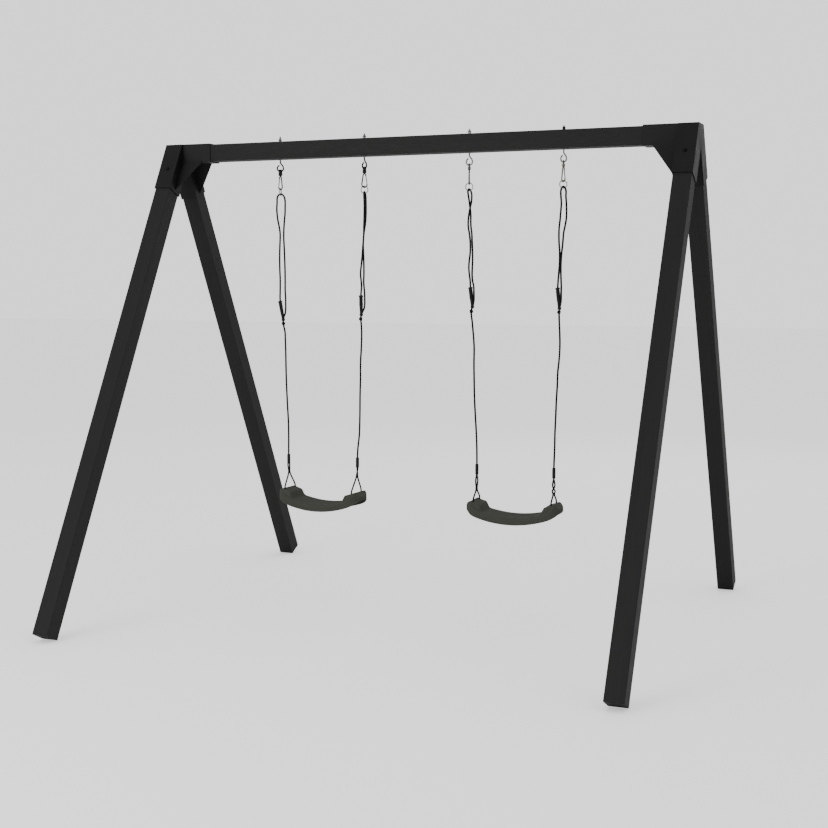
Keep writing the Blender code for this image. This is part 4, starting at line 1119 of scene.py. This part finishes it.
def make_bolts(mat):
    tip = Matrix.Rotation(radians(-90), 4, "X")
    for side, end in ((-1, "left"), (1, "right")):
        for front in (True, False):
            place = leg_matrix(side, front) @ Matrix.Translation((0, SLEEVE_HALF, -LEG_BOLT_AT)) @ tip
            make_bolt(f"leg_bolt_{'front' if front else 'rear'}_{end}", place, mat)
        face = (side * BEAM_BOLT_X, SLEEVE_HALF, BEAM_TOP - TIMBER / 2)
        make_bolt(f"beam_bolt_{end}", Matrix.Translation(face) @ tip, mat)


# Setting


def make_setting():
    """A pale floor under an even studio light, with both shown bright behind the object."""
    bm = bmesh.new()
    bmesh.ops.create_grid(bm, x_segments=2, y_segments=2, size=60)
    floor = from_bmesh("floor", bm)
    floor.location.z = -0.0005
    n = Nodes("floor", 0.9, specular=0.1)
    speck = n.noise(n.place((1.0, 1.0, 1.0)), 40, 3, 0.6)
    color = n.ramp(speck, (0.3, 0.90), (0.7, 0.92))
    n.bsdf.inputs["Emission Color"].default_value = (1, 1, 1, 1)
    seen = n.add("ShaderNodeLightPath").outputs["Is Camera Ray"]
    n.feed(n.bsdf.inputs["Emission Strength"], n.math("MULTIPLY", seen, HIGH_KEY))
    floor.data.materials.append(n.done(color, n.bump(speck, 0.0005, 0.1)))
    world = bpy.data.worlds.new("studio")
    world.use_nodes = True
    tree = world.node_tree
    sky = tree.nodes["Background"]
    sky.inputs["Color"].default_value = (1, 1, 1, 1)
    path = tree.nodes.new("ShaderNodeLightPath")
    strength = tree.nodes.new("ShaderNodeMath")
    strength.operation = "MULTIPLY_ADD"
    strength.inputs[1].default_value = HIGH_KEY
    strength.inputs[2].default_value = 1.0
    tree.links.new(path.outputs["Is Camera Ray"], strength.inputs[0])
    tree.links.new(strength.outputs[0], sky.inputs["Strength"])
    bpy.context.scene.world = world
    lamps = (
        ("key", (-3.0, -7.5, 3.6), 290, 4.0), ("fill", (6.0, -3.0, 4.5), 40, 5.0),
        ("rear", (0.0, 7.0, 5.5), 90, 5.0),
    )
    for name, at, power, size in lamps:
        data = bpy.data.lights.new(name, "AREA")
        data.energy = power
        data.size = size
        lamp = new_object(name, data)
        lamp.location = at
        aim = Vector((0, 0, 1.2)) - Vector(at)
        lamp.rotation_euler = aim.to_track_quat("-Z", "Y").to_euler()


def main():
    make_camera()
    coat = coat_material()
    # The last tone given to each metal is that of its pale spots, which are partly wear and partly painted
    # highlights.
    blackened = metal_material("blackened_steel", *BLACKENED, 0.45, (0.16, 0.16, 0.16))
    bolted = metal_material("bolt_black", (0.0060, 0.0060, 0.0062), (0.011, 0.011, 0.011), 0.55,
                            (0.04, 0.04, 0.04))
    zinc = metal_material("zinc_plate", (0.12, 0.122, 0.125), (0.22, 0.223, 0.226), 0.34,
                          (0.42, 0.43, 0.44))
    dipped = metal_material("dipped_zinc", (0.09, 0.092, 0.094), (0.16, 0.162, 0.165), 0.42,
                            (0.30, 0.30, 0.30), dipped=DIP_LINE)
    grey = metal_material("grey_steel", (0.055, 0.055, 0.055), (0.11, 0.11, 0.11), 0.42,
                          (0.25, 0.25, 0.25))
    olive = metal_material("olive_zinc", (0.085, 0.080, 0.060), (0.15, 0.142, 0.110), 0.42,
                           (0.36, 0.34, 0.28))
    for slot, metals in (("dark_steel", (blackened, bolted, dipped)), ("zinc_steel", (zinc, grey, olive))):
        for mat in metals:
            mat["slot"] = slot
    hooks = (dipped, dipped, zinc, zinc)
    snaps = (blackened, blackened, grey, olive)
    gates = (grey, zinc, grey, olive)
    cord = rope_material()
    fitting = plastic_material("black_fitting", (0.0045, 0.0045, 0.0045), (0.0085, 0.0085, 0.0085), 0.55,
                               1400, 0.15)
    seat_skin = plastic_material("seat_plastic", (0.037, 0.0375, 0.0318), (0.050, 0.0505, 0.0432), 0.84,
                                 1100, 0.07)
    for swing, end in enumerate(("left", "right")):
        hang, tip = f"swing_{end}", f"seat_{end}_body"
        for number in (2 * swing, 2 * swing + 1):
            grip = make_adjuster(number, fitting, hang)
            make_rope(number, cord, hang)
            centre = Vector((HOOK_X[number], 0, BEAM_TOP)) + Vector(RUNS[number][KNOT_POINT])
            knot(f"rope_{number + 1}_knot", centre, KNOT_SIZE, cord, hang, 1.3, number)
            make_ferrule(number, fitting, tip)
            make_strands(number, swing, cord, tip)
            make_hook(number, hooks[number])
            make_nut(number, blackened if number == 3 else zinc)
            make_swivel(number, snaps[number], hang)
            make_snap(number, snaps[number], hang)
            make_gate(number, gates[number], f"gate_{number + 1}")
            make_ring(number, zinc, hang)
        make_seat(swing, f"seat_{end}", seat_skin, tip)
    make_timber()
    for end in ("left", "right"):
        make_bracket(end, coat)
    make_bolts(bolted)
    make_setting()


main()
